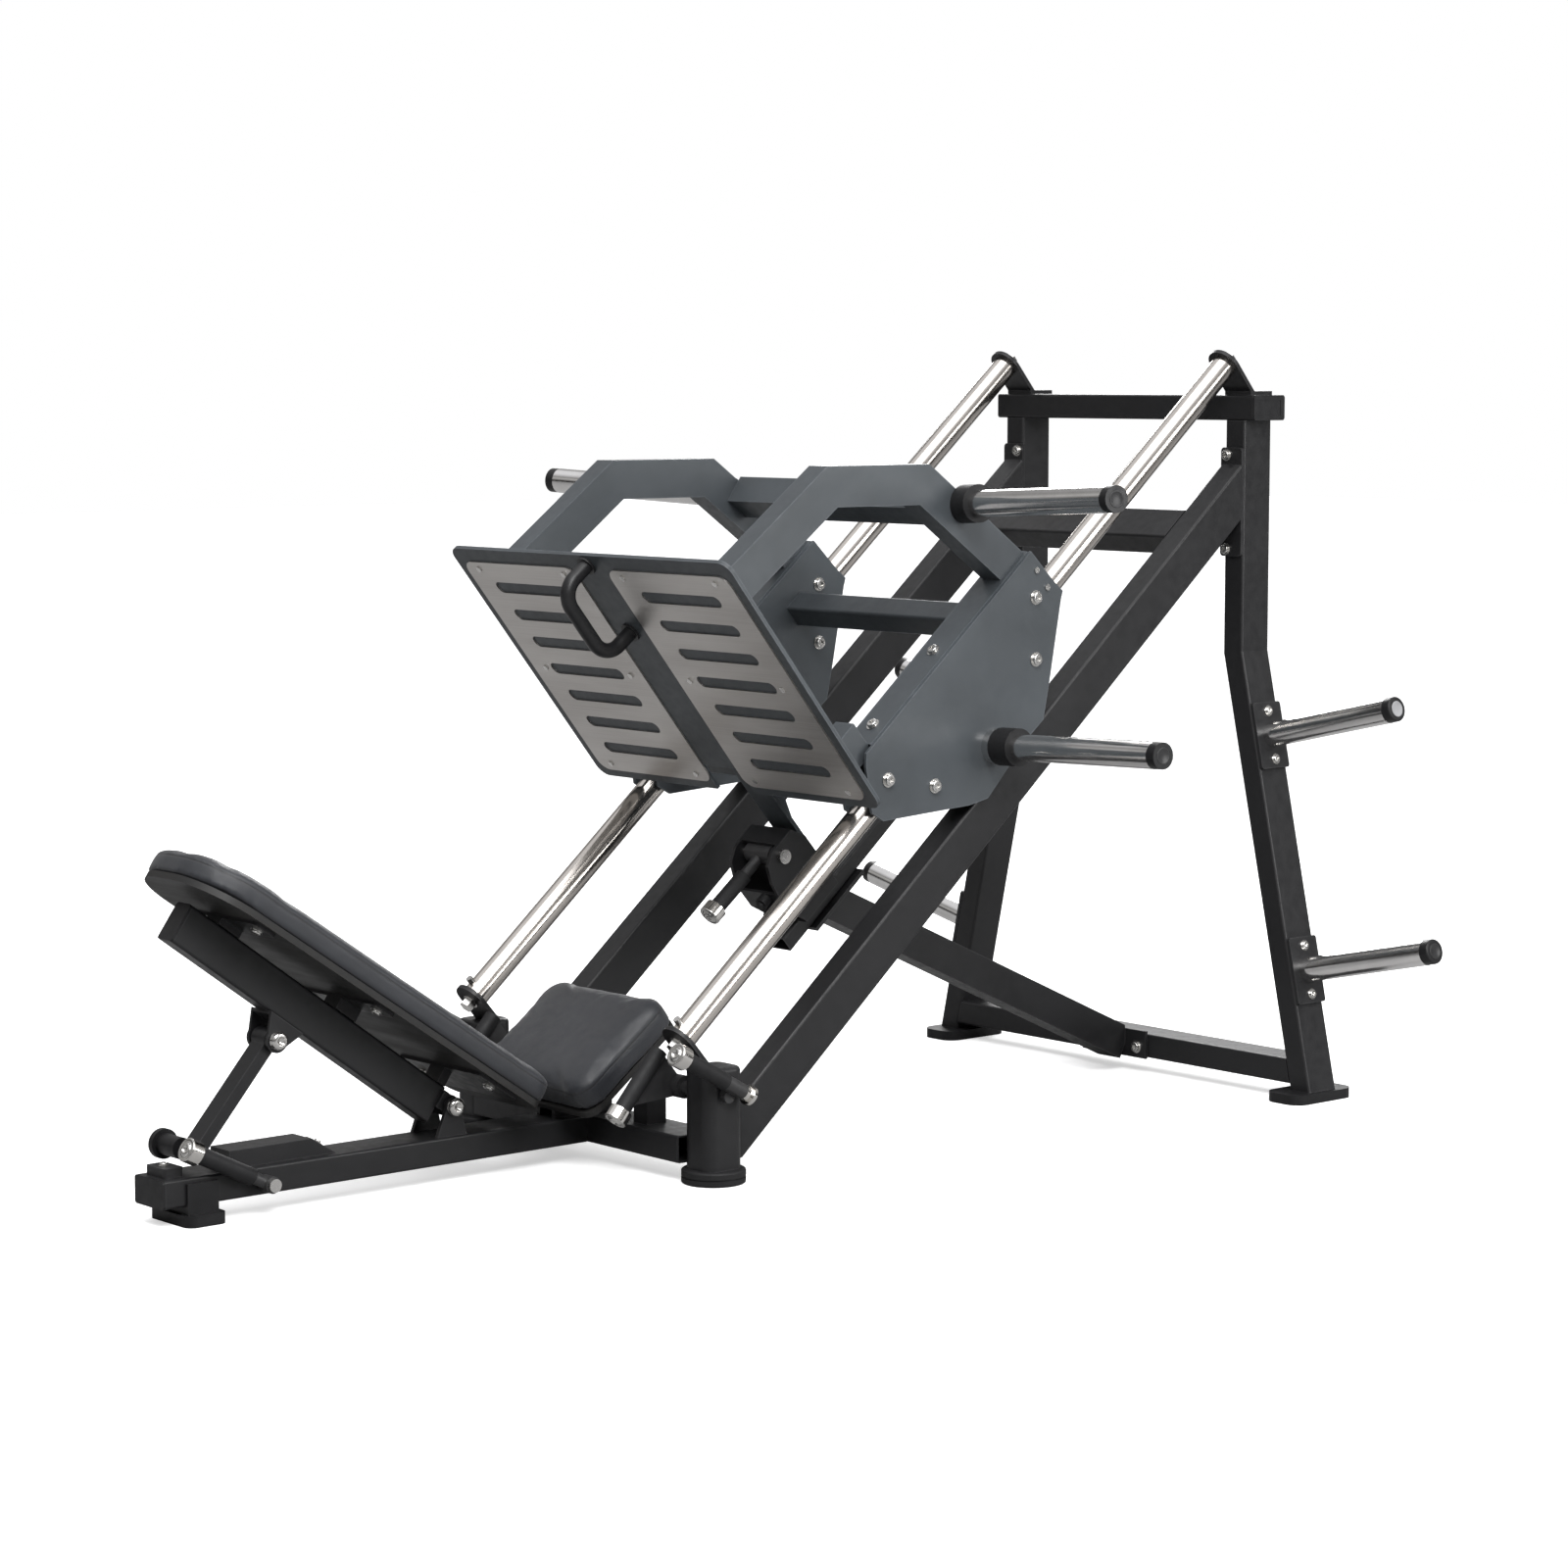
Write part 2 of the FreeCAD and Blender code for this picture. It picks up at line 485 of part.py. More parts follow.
strut_line = [(STRUT_TOP_X, STRUT_TOP_Z), (STRUT_FOOT_X, STRUT_FOOT_Z)]
top = V(STRUT_TOP_X, 0, STRUT_TOP_Z)
foot = V(STRUT_FOOT_X, 0, STRUT_FOOT_Z)
across = V(0, 20, 0)
strut = prism_y(band(strut_line, 11.5, -11.5), -20, 20)
strut = strut.multiFuse([rod(top - across, top + across, 20), rod(foot - across, foot + across, 11.5)])
strut = strut.cut(rod(top - across * 2, top + across * 2, 9 + FIT))
export("back_strut", [strut.removeSplitter()])
knob = rod(foot + V(0, 33, 0), foot + V(0, 90, 0), 19).fuse(rod(foot + V(0, 88, 0), foot + V(0, 100, 0), 26.5))
knob = knob.fuse(rod(foot + across, foot + V(0, 34, 0), 7))
export("strut_knob", [knob.removeSplitter()])


# ---------------------------------------------------------------- hand levers
def grip_bar(start, end, bare, core=11.0, cap_radius=21.5, cap=22.0):
    """A lever bar with a flanged end cap, and the rubber sleeve that covers it up to the cap."""
    run = (end - start).normalize()
    length = (end - start).Length
    bar = rod(start, start + run * (length - cap + 1), core)
    head = rod(start + run * (length - cap), end, cap_radius)
    sleeve = rod(start + run * bare, start + run * (length - cap), core + 4.5)
    sleeve = sleeve.cut(rod(start, end, core))
    return bar.fuse(head), sleeve


lever_bar, lever_sleeve = grip_bar(V(ADJUST_X, ADJUST_Y, ADJUST_Z), V(-305, ADJUST_Y, 137), 40)
lever_boss = rod(V(ADJUST_X, -46, ADJUST_Z), V(ADJUST_X, -74.5, ADJUST_Z), 15)
lever_bar = lever_bar.fuse(lever_boss).cut(rod(V(ADJUST_X, -40, ADJUST_Z), V(ADJUST_X, -80, ADJUST_Z), 7 + FIT))
export("adjust_lever", [lever_bar.removeSplitter()])
export("adjust_grip", [lever_sleeve])

stop_bar, stop_sleeve = grip_bar(V(STOP_ALONG, 0, STOP_PERP), V(352, 0, -90), 62)
stop_boss = rod(V(STOP_ALONG, -35, STOP_PERP), V(STOP_ALONG, 35, STOP_PERP), 19)
stop_hole = rod(V(STOP_ALONG, -60, STOP_PERP), V(STOP_ALONG, 60, STOP_PERP), 8 + FIT)
export("stop_lever", [on_rods(stop_bar.fuse(stop_boss).cut(stop_hole).removeSplitter())])
export("stop_grip", [on_rods(stop_sleeve)])

shaft = rod(V(LEVER_X, 152, LEVER_Z), V(LEVER_X, LEVER_OUT - 8, LEVER_Z), SHAFT_RADIUS)
outer_bar, outer_sleeve = grip_bar(V(655, LEVER_OUT, 161), V(485, LEVER_OUT, 255), 66)
outer_root = rod(V(655, LEVER_OUT, 161), V(655, LEVER_OUT, 161) + V(-0.875, 0, 0.484) * 66, 14)
outer_ring = rod(V(655, LEVER_OUT, 161), V(655, LEVER_OUT, 161) + V(-0.875, 0, 0.484) * 7, 19)
inner_bar, inner_sleeve = grip_bar(V(572, LEVER_IN, 232), V(470, LEVER_IN, 117), 0.5)
inner_boss = rod(V(LEVER_X, LEVER_IN - 22, LEVER_Z), V(LEVER_X, LEVER_IN + 22, LEVER_Z), 21)
inner_web = prism_y([(614, 180), (572, 232), (562, 221), (500, 151), (512, 140), (608, 146)],
                    LEVER_IN - 5, LEVER_IN + 5)
inner_sleeve = inner_sleeve.cut(inner_web)
lever = shaft.multiFuse([outer_bar, outer_root, outer_ring, inner_bar, inner_boss, inner_web])
export("hand_lever_left", [lever.removeSplitter()])
export("hand_grips_left", [outer_sleeve, inner_sleeve])
export("hand_lever_right", [mirrored([lever.removeSplitter()])[1]])
export("hand_grips_right", mirrored([outer_sleeve, inner_sleeve])[2:])

# ---------------------------------------------------------------- carriage: side boxes on the rods
side = [(568, 12), (613, 88), (630, 106), (1181, 106), (1188, 31), (1195, -9), (1181, -18), (1066, -110),
        (998, -162), (949, -160), (796, -174), (754, -151), (579, -19)]
side_plates = []
for y in (SIDE_IN, SIDE_OUT - PLATE):
    plate = prism_y(side, y, y + PLATE)
    side_plates.append(on_rods(plate))
export("side_plates", mirrored(side_plates))

cover = box((652, 1178), (SIDE_IN + PLATE, SIDE_OUT - PLATE), (BOX_TOP - COVER, BOX_TOP))
export("box_covers", mirrored([on_rods(cover)]))

LOWER_HOUSING = [(610, 48), (735, 48), (735, -75), (655, -75), (610, -40)]
UPPER_HOUSING = [(1035, 48), (1155, 48), (1155, -36), (1110, -72), (1035, -72)]
BUSH_RADIUS = 29.0
housings = []
bushes = []
for outline in (LOWER_HOUSING, UPPER_HOUSING):
    start, end = outline[0][0], outline[1][0]
    housing = prism_y(outline, SIDE_IN + PLATE, SIDE_OUT - PLATE)
    housing = housing.cut(rod(V(start - 5, ROD_Y, 0), V(end + 5, ROD_Y, 0), BUSH_RADIUS))
    housings.append(on_rods(housing))
    bushes.append(on_rods(ring(V(start, ROD_Y, 0), V(1, 0, 0), BUSH_RADIUS, ROD_RADIUS + FIT, end - start)))
export("bearing_housings", mirrored(housings))
export("linear_bushes", mirrored(bushes))

# ---------------------------------------------------------------- carriage: foot plate and arches
low, high = FOOT_PLATE_LOW, FOOT_PLATE_HIGH
sheet = rounded((0, FOOT_SHEET), (-FOOT_PLATE_HALF, FOOT_PLATE_HALF), (low, high), 25, "x")
sheet = sheet.cut(box((-5, FOOT_SHEET + 5), (-55, 55), (low - 5, 55)))
bars = mirrored([box((FOOT_SHEET, BAR_BACK), (292, 332), (60, 535))])
foot_plate = on_plate(sheet.multiFuse(bars))
bar_front = on_plate(box((-500, BAR_BACK), (-600, 600), (-300, 900)))
link = on_rods(box((500, 652), (ROD_Y - 25, ROD_Y + 25), (88, 160))).cut(bar_front)
export("foot_plate", [foot_plate.multiFuse(mirrored([link])).removeSplitter()])

arch_line = [(551, 1012), (897, 1277), (1150, 1277), (1503, 1029)]
arch = prism_y(band(arch_line, 0, -75), ROD_Y - 25, ROD_Y + 25)
arch_core = prism_y(band(arch_line, -WALL, WALL - 75), ROD_Y - 25 + WALL, ROD_Y + 25 - WALL)
below_cover = on_rods(box((500, 2000), (-500, 500), (-500, BOX_TOP)))
arch = arch.cut(arch_core).cut(bar_front).cut(below_cover)
arch = max(arch.Solids, key=lambda solid: solid.Volume)
export("arches", mirrored([arch]))

HORN_BEAM = (1225.0, 1200.0)
slant = V(0.8176, -0.5758, 0)
beam_line = [(HORN_BEAM[0] - 29 * slant.x, HORN_BEAM[1] - 29 * slant.y),
             (HORN_BEAM[0] + 29 * slant.x, HORN_BEAM[1] + 29 * slant.y)]
core_line = [(HORN_BEAM[0] - 26 * slant.x, HORN_BEAM[1] - 26 * slant.y),
             (HORN_BEAM[0] + 26 * slant.x, HORN_BEAM[1] + 26 * slant.y)]
beam = prism_y(band(beam_line, 29, -29), 25 - ROD_Y, ROD_Y - 25)
beam = beam.cut(prism_y(band(core_line, 26, -26), -ROD_Y, ROD_Y))
export("horn_cross_tube", [beam])

export("mid_cross_tube", [on_rods(tube((1038, 1088), (-SIDE_IN, SIDE_IN), (3, 53), "y"))])

lower_tie = tube((602, 662), (-SIDE_IN, SIDE_IN), (30, 90), "y")
striker = box((593.5, 602), (-35, 35), (-215, 60))
striker_web = prism_y([(602, 30), (655, 30), (602, -150)], -4, 4)
export("lower_cross_tube", [on_rods(lower_tie.multiFuse([striker, striker_web]).removeSplitter())])

# ---------------------------------------------------------------- treads, handle and fixings
treads = rounded((-TREAD, 0), (50, 390), (13, 552), 25, "x")
for k in range(7):
    q = 78 + 68.7 * k
    slot = rounded((-TREAD - 2, 2), (221 - 110, 221 + 110), (q - 13.5, q + 13.5), 13.4, "x")
    treads = treads.cut(slot)
export("treads", mirrored([on_plate(treads)]))

HANDLE_OUT = 78.0
HANDLE_LOW, HANDLE_HIGH = 397.0, 560.0
bend = 40.0
path = [V(0, 0, HANDLE_LOW), V(bend - HANDLE_OUT, 0, HANDLE_LOW), V(-HANDLE_OUT, 0, HANDLE_LOW + bend),
        V(-HANDLE_OUT, 0, HANDLE_HIGH - bend), V(bend - HANDLE_OUT, 0, HANDLE_HIGH), V(0, 0, HANDLE_HIGH)]
turn = bend * (1 - math.sqrt(0.5))
low_corner = V(turn - HANDLE_OUT, 0, HANDLE_LOW + turn)
high_corner = V(turn - HANDLE_OUT, 0, HANDLE_HIGH - turn)
spine = Part.Wire([
    Part.makeLine(path[0], path[1]),
    Part.Arc(path[1], low_corner, path[2]).toShape(),
    Part.makeLine(path[2], path[3]),
    Part.Arc(path[3], high_corner, path[4]).toShape(),
    Part.makeLine(path[4], path[5]),
])
profile = Part.Wire(Part.makeCircle(14, path[0], V(-1, 0, 0)))
handle = spine.makePipeShell([profile], True, True)
handle_feet = []
for q in (HANDLE_LOW, HANDLE_HIGH):
    handle_feet.append(rod(V(-5, 0, q), V(0, 0, q), 20))
export("lift_handle", [on_plate(handle.multiFuse(handle_feet).removeSplitter())])

carriage_bolts = []
for along, perp in ((1133, 31), (1057, -59), (636, 32), (713, -59)):
    carriage_bolts.append(on_rods(socket_bolt(V(along, SIDE_OUT, perp), V(0, 1, 0), 11, 7)))
    if (along, perp) != (636, 32):       # the lower cross tube is welded over this one
        carriage_bolts.append(on_rods(socket_bolt(V(along, SIDE_IN, perp), V(0, -1, 0), 11, 7)))
for perp in (69, 25):
    carriage_bolts.append(on_rods(rod(V(1168, SIDE_OUT, perp), V(1168, SIDE_OUT + 3, perp), 6)))
for along in (700, 900):
    carriage_bolts.append(on_rods(socket_bolt(V(along, ROD_Y, BOX_TOP), V(0, 0, 1), 10, 6)))
for q in (31, 284, 535):
    for y in (88, 350):
        carriage_bolts.append(on_plate(rod(V(-TREAD, y, q), V(-TREAD - 2.5, y, q), 6)))
export("carriage_bolts", mirrored(carriage_bolts))

horns = []
collars = []
caps = []
HORNS = ((V(1238, ROD_Y + 25, 1201.5), V(1155, 815, 1224), 0), (V(1305, SIDE_OUT, 744), V(1280, 815, 761), 22))
COLLAR = 50.0
for start, tip, boss in HORNS:
    run = (tip - start).normalize()
    collar_end = start + run * (boss + COLLAR)
    horn = rod(collar_end, tip - run * 20, HORN_RADIUS)
    horn = horn.fuse(rod(start - run * 20, collar_end, HORN_RADIUS - 1))
    if boss:
        horn = horn.fuse(rod(start - run * 20, start + run * boss, 34))
    inboard = box((500, 2000), (0, start.y), (0, 2000))
    horns.append(horn.cut(inboard).removeSplitter())
    collars.append(ring(start + run * boss, run, 36, HORN_RADIUS - 1, COLLAR).cut(inboard))
    caps.append(rod(tip - run * 20, tip, CAP_RADIUS))
export("carriage_horns", mirrored(horns))
export("horn_collars", mirrored(collars))
export("carriage_horn_caps", mirrored(caps))

# ---------------------------------------------------------------- frame fixings
fixings = []
for z in (1094, 1282):
    fixings.append(socket_bolt(V(LEG_FRONT - 6, 300, z), V(-1, 0, 0), 9, 6))
fixings.append(socket_bolt(V(LEG_FRONT - 6, 66, 53), V(-1, 0, 0), 10, 7))
for down in STORAGE_DOWN:
    for offset in (-49, 49):
        fixings.append(on_leg(socket_bolt(V(STORAGE_X, plate_face, down + offset), V(0, 1, 0), 8, 5)))
fixings.append(on_rods(hex_bolt(V(-END_PLATE, ROD_Y, 0), V(-1, 0, 0))))
fixings.append(on_rods(hex_bolt(V(ROD_LENGTH + END_PLATE, ROD_Y, 0), V(1, 0, 0))))
rod_bar = rod(V(0, ROD_Y, 0), V(60, ROD_Y, 0), ROD_RADIUS)
fixings.append(on_rods(rod(V(17, ROD_Y, 15), V(17, ROD_Y, 37), 6.5).cut(rod_bar)))
ramp = V(0.539, 0, 0.842)
fixings.append(socket_bolt(V(-10, 14, 103.2), ramp, 6, 4))
fixings = mirrored(fixings)
fixings.append(socket_bolt(V(-313, 0, 101), V(0, 0, 1), 7, 4))
export("frame_bolts", fixings)
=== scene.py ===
# %% [markdown]
# ## Start
# The hard parts of the machine are already made: model.glb brings in the tubes, plates and rods, each at its true place
# in metres. This lesson gives them their finishes, sews the two cushions and turns the small bright fittings.

# %% Load the machine
import math

import bmesh
import bpy
import numpy as np
from mathutils import Euler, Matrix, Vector


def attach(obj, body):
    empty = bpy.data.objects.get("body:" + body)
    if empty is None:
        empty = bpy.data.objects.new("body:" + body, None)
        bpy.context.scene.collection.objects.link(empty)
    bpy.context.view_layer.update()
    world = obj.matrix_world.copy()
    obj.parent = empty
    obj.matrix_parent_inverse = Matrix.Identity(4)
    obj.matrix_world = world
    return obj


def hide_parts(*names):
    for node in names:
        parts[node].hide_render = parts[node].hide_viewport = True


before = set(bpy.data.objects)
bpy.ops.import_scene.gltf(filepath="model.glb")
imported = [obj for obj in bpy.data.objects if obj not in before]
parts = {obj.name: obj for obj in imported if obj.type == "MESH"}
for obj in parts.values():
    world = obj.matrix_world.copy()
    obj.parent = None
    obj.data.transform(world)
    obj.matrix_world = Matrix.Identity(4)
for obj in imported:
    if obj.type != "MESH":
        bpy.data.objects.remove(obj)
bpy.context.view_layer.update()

# %% [markdown]
# ## Camera
# A long lens some seven metres away looks slightly down on the backrest end of the machine from its right-hand side,
# so the rails stay nearly parallel. A camera object looks along its own -Z, so it is first tilted up from straight
# down and then turned to the left or right about the vertical.

# %% Camera
camera_data = bpy.data.cameras.new("studio_camera")
camera_data.sensor_width = 36.0
camera_data.lens = 89.54
camera_data.clip_end = 100.0
camera = bpy.data.objects.new("studio_camera", camera_data)
bpy.context.scene.collection.objects.link(camera)
camera.location = (-4.6813, -5.6430, 1.4436)
camera.rotation_euler = Euler((math.radians(90 - 6.006), 0.0, math.radians(-40.817)), "XYZ")
bpy.context.scene.camera = camera
print("lens:", camera_data.lens, "mm")

# %% [markdown]
# ## Floor and light
# A wide pale floor catches the soft shadows. The light is a large soft box over the camera side, a weaker one behind
# for the bright edges on the tubes, and a grey surround that is darker near the horizon: chrome shows only what is
# round it, and in an even white room it would look like white plastic. The camera itself sees plain white behind, and
# the floor is darker to the machine than to the camera, so that the undersides don't glow.

# %% Floor
def sheet_of_floor(half):
    """Four corners at the given half width, at height zero: x = +-half, y = +-half."""
    corners = np.array([(-1, -1, 0), (1, -1, 0), (1, 1, 0), (-1, 1, 0)], float) * half
    mesh = bpy.data.meshes.new("studio_floor")
    mesh.from_pydata(corners.tolist(), [], [(0, 1, 2, 3)])
    floor = bpy.data.objects.new("studio_floor", mesh)
    bpy.context.scene.collection.objects.link(floor)
    return floor


floor = sheet_of_floor(30.0)
floor_paint = bpy.data.materials.new("pale_floor")
floor_paint.use_nodes = True
paint = floor_paint.node_tree.nodes["Principled BSDF"]
paint.inputs["Base Color"].default_value = (0.93, 0.93, 0.93, 1)
paint.inputs["Roughness"].default_value = 0.85
paint.inputs["Specular IOR Level"].default_value = 0.1
paint.inputs["Emission Color"].default_value = (1, 1, 1, 1)
floor_nodes = floor_paint.node_tree
seen = floor_nodes.nodes.new("ShaderNodeLightPath")
floor_tone = floor_nodes.nodes.new("ShaderNodeMix")
floor_tone.data_type = "RGBA"
floor_tone.inputs[6].default_value = (0.30, 0.30, 0.30, 1)     # what the machine sees of it
floor_tone.inputs[7].default_value = (0.93, 0.93, 0.93, 1)     # what the camera sees of it
glow = floor_nodes.nodes.new("ShaderNodeMath")
glow.operation = "MULTIPLY"
glow.inputs[1].default_value = 0.50
floor_nodes.links.new(seen.outputs["Is Camera Ray"], floor_tone.inputs[0])
floor_nodes.links.new(floor_tone.outputs[2], paint.inputs["Base Color"])
floor_nodes.links.new(seen.outputs["Is Camera Ray"], glow.inputs[0])
floor_nodes.links.new(glow.outputs[0], paint.inputs["Emission Strength"])
floor.data.materials.append(floor_paint)

# %% Lights
def soft_box(name, place, aim, size, watts):
    """A square lamp at one point, turned so that its -Z axis looks at another."""
    data = bpy.data.lights.new(name, "AREA")
    data.shape = "SQUARE"
    data.size = size
    data.energy = watts
    lamp = bpy.data.objects.new(name, data)
    lamp.location = place
    lamp.rotation_euler = (Vector(aim) - Vector(place)).to_track_quat("-Z", "Y").to_euler()
    bpy.context.scene.collection.objects.link(lamp)
    return lamp


soft_box("key_light", (-2.4, -4.2, 4.8), (0.2, 0, 0.7), 3.0, 300)
soft_box("rim_light", (3.8, 3.0, 3.0), (0, 0, 0.8), 2.4, 130)
soft_box("low_fill", (2.2, -4.4, 1.9), (0.9, 0, 0.9), 2.2, 105)
sky_data = bpy.data.lights.new("sky_light", "SUN")
sky_data.energy = 1.15
sky_data.angle = math.radians(55)
sky = bpy.data.objects.new("sky_light", sky_data)
sky.rotation_euler = (math.radians(14), math.radians(-12), 0)
bpy.context.scene.collection.objects.link(sky)

world = bpy.data.worlds.new("studio_world")
bpy.context.scene.world = world
world.use_nodes = True
tree = world.node_tree
tree.nodes.clear()
direction = tree.nodes.new("ShaderNodeTexCoord")
split = tree.nodes.new("ShaderNodeSeparateXYZ")
ramp = tree.nodes.new("ShaderNodeValToRGB")
ramp.color_ramp.elements[0].position = 0.0
ramp.color_ramp.elements[0].color = (0.035, 0.034, 0.033, 1)
ramp.color_ramp.elements[1].position = 0.75
ramp.color_ramp.elements[1].color = (1.0, 1.0, 1.02, 1)
for height, grey in ((0.12, 0.05), (0.34, 0.62), (0.50, 0.30)):
    stop = ramp.color_ramp.elements.new(height)
    stop.color = (grey, 0.985 * grey, 0.97 * grey, 1)
ambient = tree.nodes.new("ShaderNodeBackground")
ambient.inputs["Strength"].default_value = 0.8
backdrop = tree.nodes.new("ShaderNodeBackground")
backdrop.inputs["Color"].default_value = (1, 1, 1, 1)
backdrop.inputs["Strength"].default_value = 1.0
sight = tree.nodes.new("ShaderNodeLightPath")
choose = tree.nodes.new("ShaderNodeMixShader")
out = tree.nodes.new("ShaderNodeOutputWorld")
tree.links.new(direction.outputs["Generated"], split.inputs[0])
tree.links.new(split.outputs["Z"], ramp.inputs["Fac"])
tree.links.new(ramp.outputs["Color"], ambient.inputs["Color"])
tree.links.new(sight.outputs["Is Camera Ray"], choose.inputs["Fac"])
tree.links.new(ambient.outputs[0], choose.inputs[1])
tree.links.new(backdrop.outputs[0], choose.inputs[2])
tree.links.new(choose.outputs[0], out.inputs["Surface"])
bpy.context.scene.view_settings.view_transform = "Standard"

# %% [markdown]
# ## A small kit for finishes
# Every finish starts from the Principled shader and adds what the real surface shows: a cloudy change of tone, a
# roughness that is never quite even and a fine relief. The powder coats also get a painted highlight: their edges are
# painted a little brighter. All patterns read the Object coordinates, which are metres here, so a noise scale of 500
# means grains about two millimetres apart.

# %% Finish kit
class Finish:
    """A material under construction: a node tree with short helpers."""

    def __init__(self, name, colour, roughness, metallic=0.0):
        self.material = bpy.data.materials.new(name)
        self.material.use_nodes = True
        self.tree = self.material.node_tree
        self.shader = self.tree.nodes["Principled BSDF"]
        self.colour = colour
        self.shader.inputs["Base Color"].default_value = (*colour, 1)
        self.shader.inputs["Roughness"].default_value = roughness
        self.shader.inputs["Metallic"].default_value = metallic
        self.place = self.node("ShaderNodeTexCoord").outputs["Object"]

    def node(self, kind, **settings):
        made = self.tree.nodes.new(kind)
        for key, value in settings.items():
            setattr(made, key, value)
        return made

    def link(self, a, b):
        self.tree.links.new(a, b)

    def stretched(self, scale, turn=(0, 0, 0)):
        """Object coordinates turned by an angle and then scaled along each axis."""
        turned = self.node("ShaderNodeMapping")
        turned.inputs["Rotation"].default_value = turn
        scaled = self.node("ShaderNodeMapping")
        scaled.inputs["Scale"].default_value = scale
        self.link(self.place, turned.inputs["Vector"])
        self.link(turned.outputs[0], scaled.inputs["Vector"])
        return scaled.outputs[0]

    def noise(self, scale, detail=3.0, place=None):
        made = self.node("ShaderNodeTexNoise")
        made.inputs["Scale"].default_value = scale
        made.inputs["Detail"].default_value = detail
        self.link(place or self.place, made.inputs["Vector"])
        return made.outputs["Fac"]

    def ranged(self, value, low, high, start=0.3, end=0.7):
        """A value between start and end carried to the span low to high, and held there beyond it."""
        made = self.node("ShaderNodeMapRange")
        made.inputs["From Min"].default_value = start
        made.inputs["From Max"].default_value = end
        made.inputs["To Min"].default_value = low
        made.inputs["To Max"].default_value = high
        self.link(value, made.inputs["Value"])
        return made.outputs[0]

    def blend(self, amount, first, second):
        """Two colours mixed by a value; each is a colour or a socket."""
        made = self.node("ShaderNodeMix", data_type="RGBA")
        self.link(amount, made.inputs[0])
        for socket, colour in ((made.inputs[6], first), (made.inputs[7], second)):
            if isinstance(colour, tuple):
                socket.default_value = (*colour, 1)
            else:
                self.link(colour, socket)
        return made.outputs[2]

    def edge_highlight_mask(self, radius, start=0.012, end=0.10):
        """One on convex edges, where the coats get their painted highlight: the difference between the true normal and
        one smoothed over the given radius.
        """
        bevel = self.node("ShaderNodeBevel", samples=4)
        bevel.inputs["Radius"].default_value = radius
        plain = self.node("ShaderNodeNewGeometry").outputs["Normal"]
        dot = self.node("ShaderNodeVectorMath", operation="DOT_PRODUCT")
        self.link(bevel.outputs[0], dot.inputs[0])
        self.link(plain, dot.inputs[1])
        off = self.node("ShaderNodeMath", operation="SUBTRACT")
        off.inputs[0].default_value = 1.0
        self.link(dot.outputs["Value"], off.inputs[1])
        return self.ranged(off.outputs[0], 0.0, 1.0, start, end)

    def relief(self, height, strength, depth):
        """Turn a height pattern into bumps of the given depth in metres."""
        bump = self.node("ShaderNodeBump")
        bump.inputs["Strength"].default_value = strength
        bump.inputs["Distance"].default_value = depth
        self.link(height, bump.inputs["Height"])
        self.link(bump.outputs[0], self.shader.inputs["Normal"])

    def set(self, socket, value):
        self.link(value, self.shader.inputs[socket])


def shade(colour, factor):
    """The same colour, lighter or darker."""
    return tuple(min(1.0, c * factor) for c in colour)


print("finish kit ready")

# %% [markdown]
# ## Painted steel
# The frame is black and the carriage slate grey, both powder coated: the powder melts into a satin skin with a faint
# orange-peel relief. The corners are painted a shade lighter, a painted highlight where light catches the edges. We
# could paint every tube a little differently, but one recipe with two colours keeps the whole machine alike.

# %% Powder coats
def powder_coat(name, colour, roughness, edge):
    """Colour clouded over decimetres, roughness over centimetres, fine peel relief, and edges painted lighter as a
    painted highlight.
    """
    coat = Finish(name, colour, roughness)
    clouds = coat.ranged(coat.noise(7.0, 4.0), 0.0, 1.0)
    body = coat.blend(clouds, shade(colour, 0.86), shade(colour, 1.16))
    painted_edge_light = coat.node("ShaderNodeMath", operation="MULTIPLY")
    # the edges, broken up by a noise, are painted in the edge colour: a painted highlight
    coat.link(coat.edge_highlight_mask(0.004), painted_edge_light.inputs[0])
    coat.link(coat.ranged(coat.noise(30.0, 5.0), 0.25, 1.0), painted_edge_light.inputs[1])
    coat.set("Base Color", coat.blend(painted_edge_light.outputs[0], body, edge))
    coat.set("Roughness", coat.ranged(coat.noise(55.0, 4.0), roughness - 0.06, roughness + 0.08))
    coat.shader.inputs["Specular IOR Level"].default_value = 0.36
    coat.relief(coat.noise(750.0, 2.0), 0.12, 0.0004)
    return coat.material


# the last colour of each coat is its painted edge highlight
frame_black = powder_coat("frame_black", (0.0135, 0.0135, 0.0145), 0.38, (0.050, 0.050, 0.052))
carriage_grey = powder_coat("carriage_grey", (0.060, 0.068, 0.075), 0.38, (0.13, 0.145, 0.16))
print("coats:", frame_black.name, carriage_grey.name)

# %% [markdown]
# ## Bright steel
# Guide rods and horns are ground, then chromed: nearly a mirror, with faint marks along the bar where the bushes and
# plates run. The treads are brushed stainless sheet, so their grain is drawn out sideways, which a noise does when
# its coordinates are squeezed along two axes and left long along the third.

# %% Chrome and stainless
def polished(name, colour, low, high, streak=(500.0, 500.0, 9.0), turn=(0, 0, 0)):
    """A mirror metal whose roughness runs in streaks along one axis."""
    metal = Finish(name, colour, low, 1.0)
    marks = metal.noise(1.0, 5.0, metal.stretched(streak, turn))
    clouds = metal.ranged(metal.noise(14.0, 4.0), 0, 1)
    metal.set("Base Color", metal.blend(clouds, shade(colour, 0.93), shade(colour, 1.05)))
    metal.set("Roughness", metal.ranged(marks, low, high))
    metal.relief(marks, 0.05, 0.0002)
    return metal.material


ROD_SLOPE = math.radians(40.63)
rod_chrome = polished("rod_chrome", (0.66, 0.62, 0.58), 0.13, 0.22, (9.0, 600.0, 600.0), (0, ROD_SLOPE, 0))
horn_chrome = polished("horn_chrome", (0.80, 0.79, 0.78), 0.12, 0.22, (600.0, 9.0, 600.0))
bolt_steel = polished("bolt_steel", (0.70, 0.69, 0.67), 0.14, 0.28, (400.0, 400.0, 400.0))

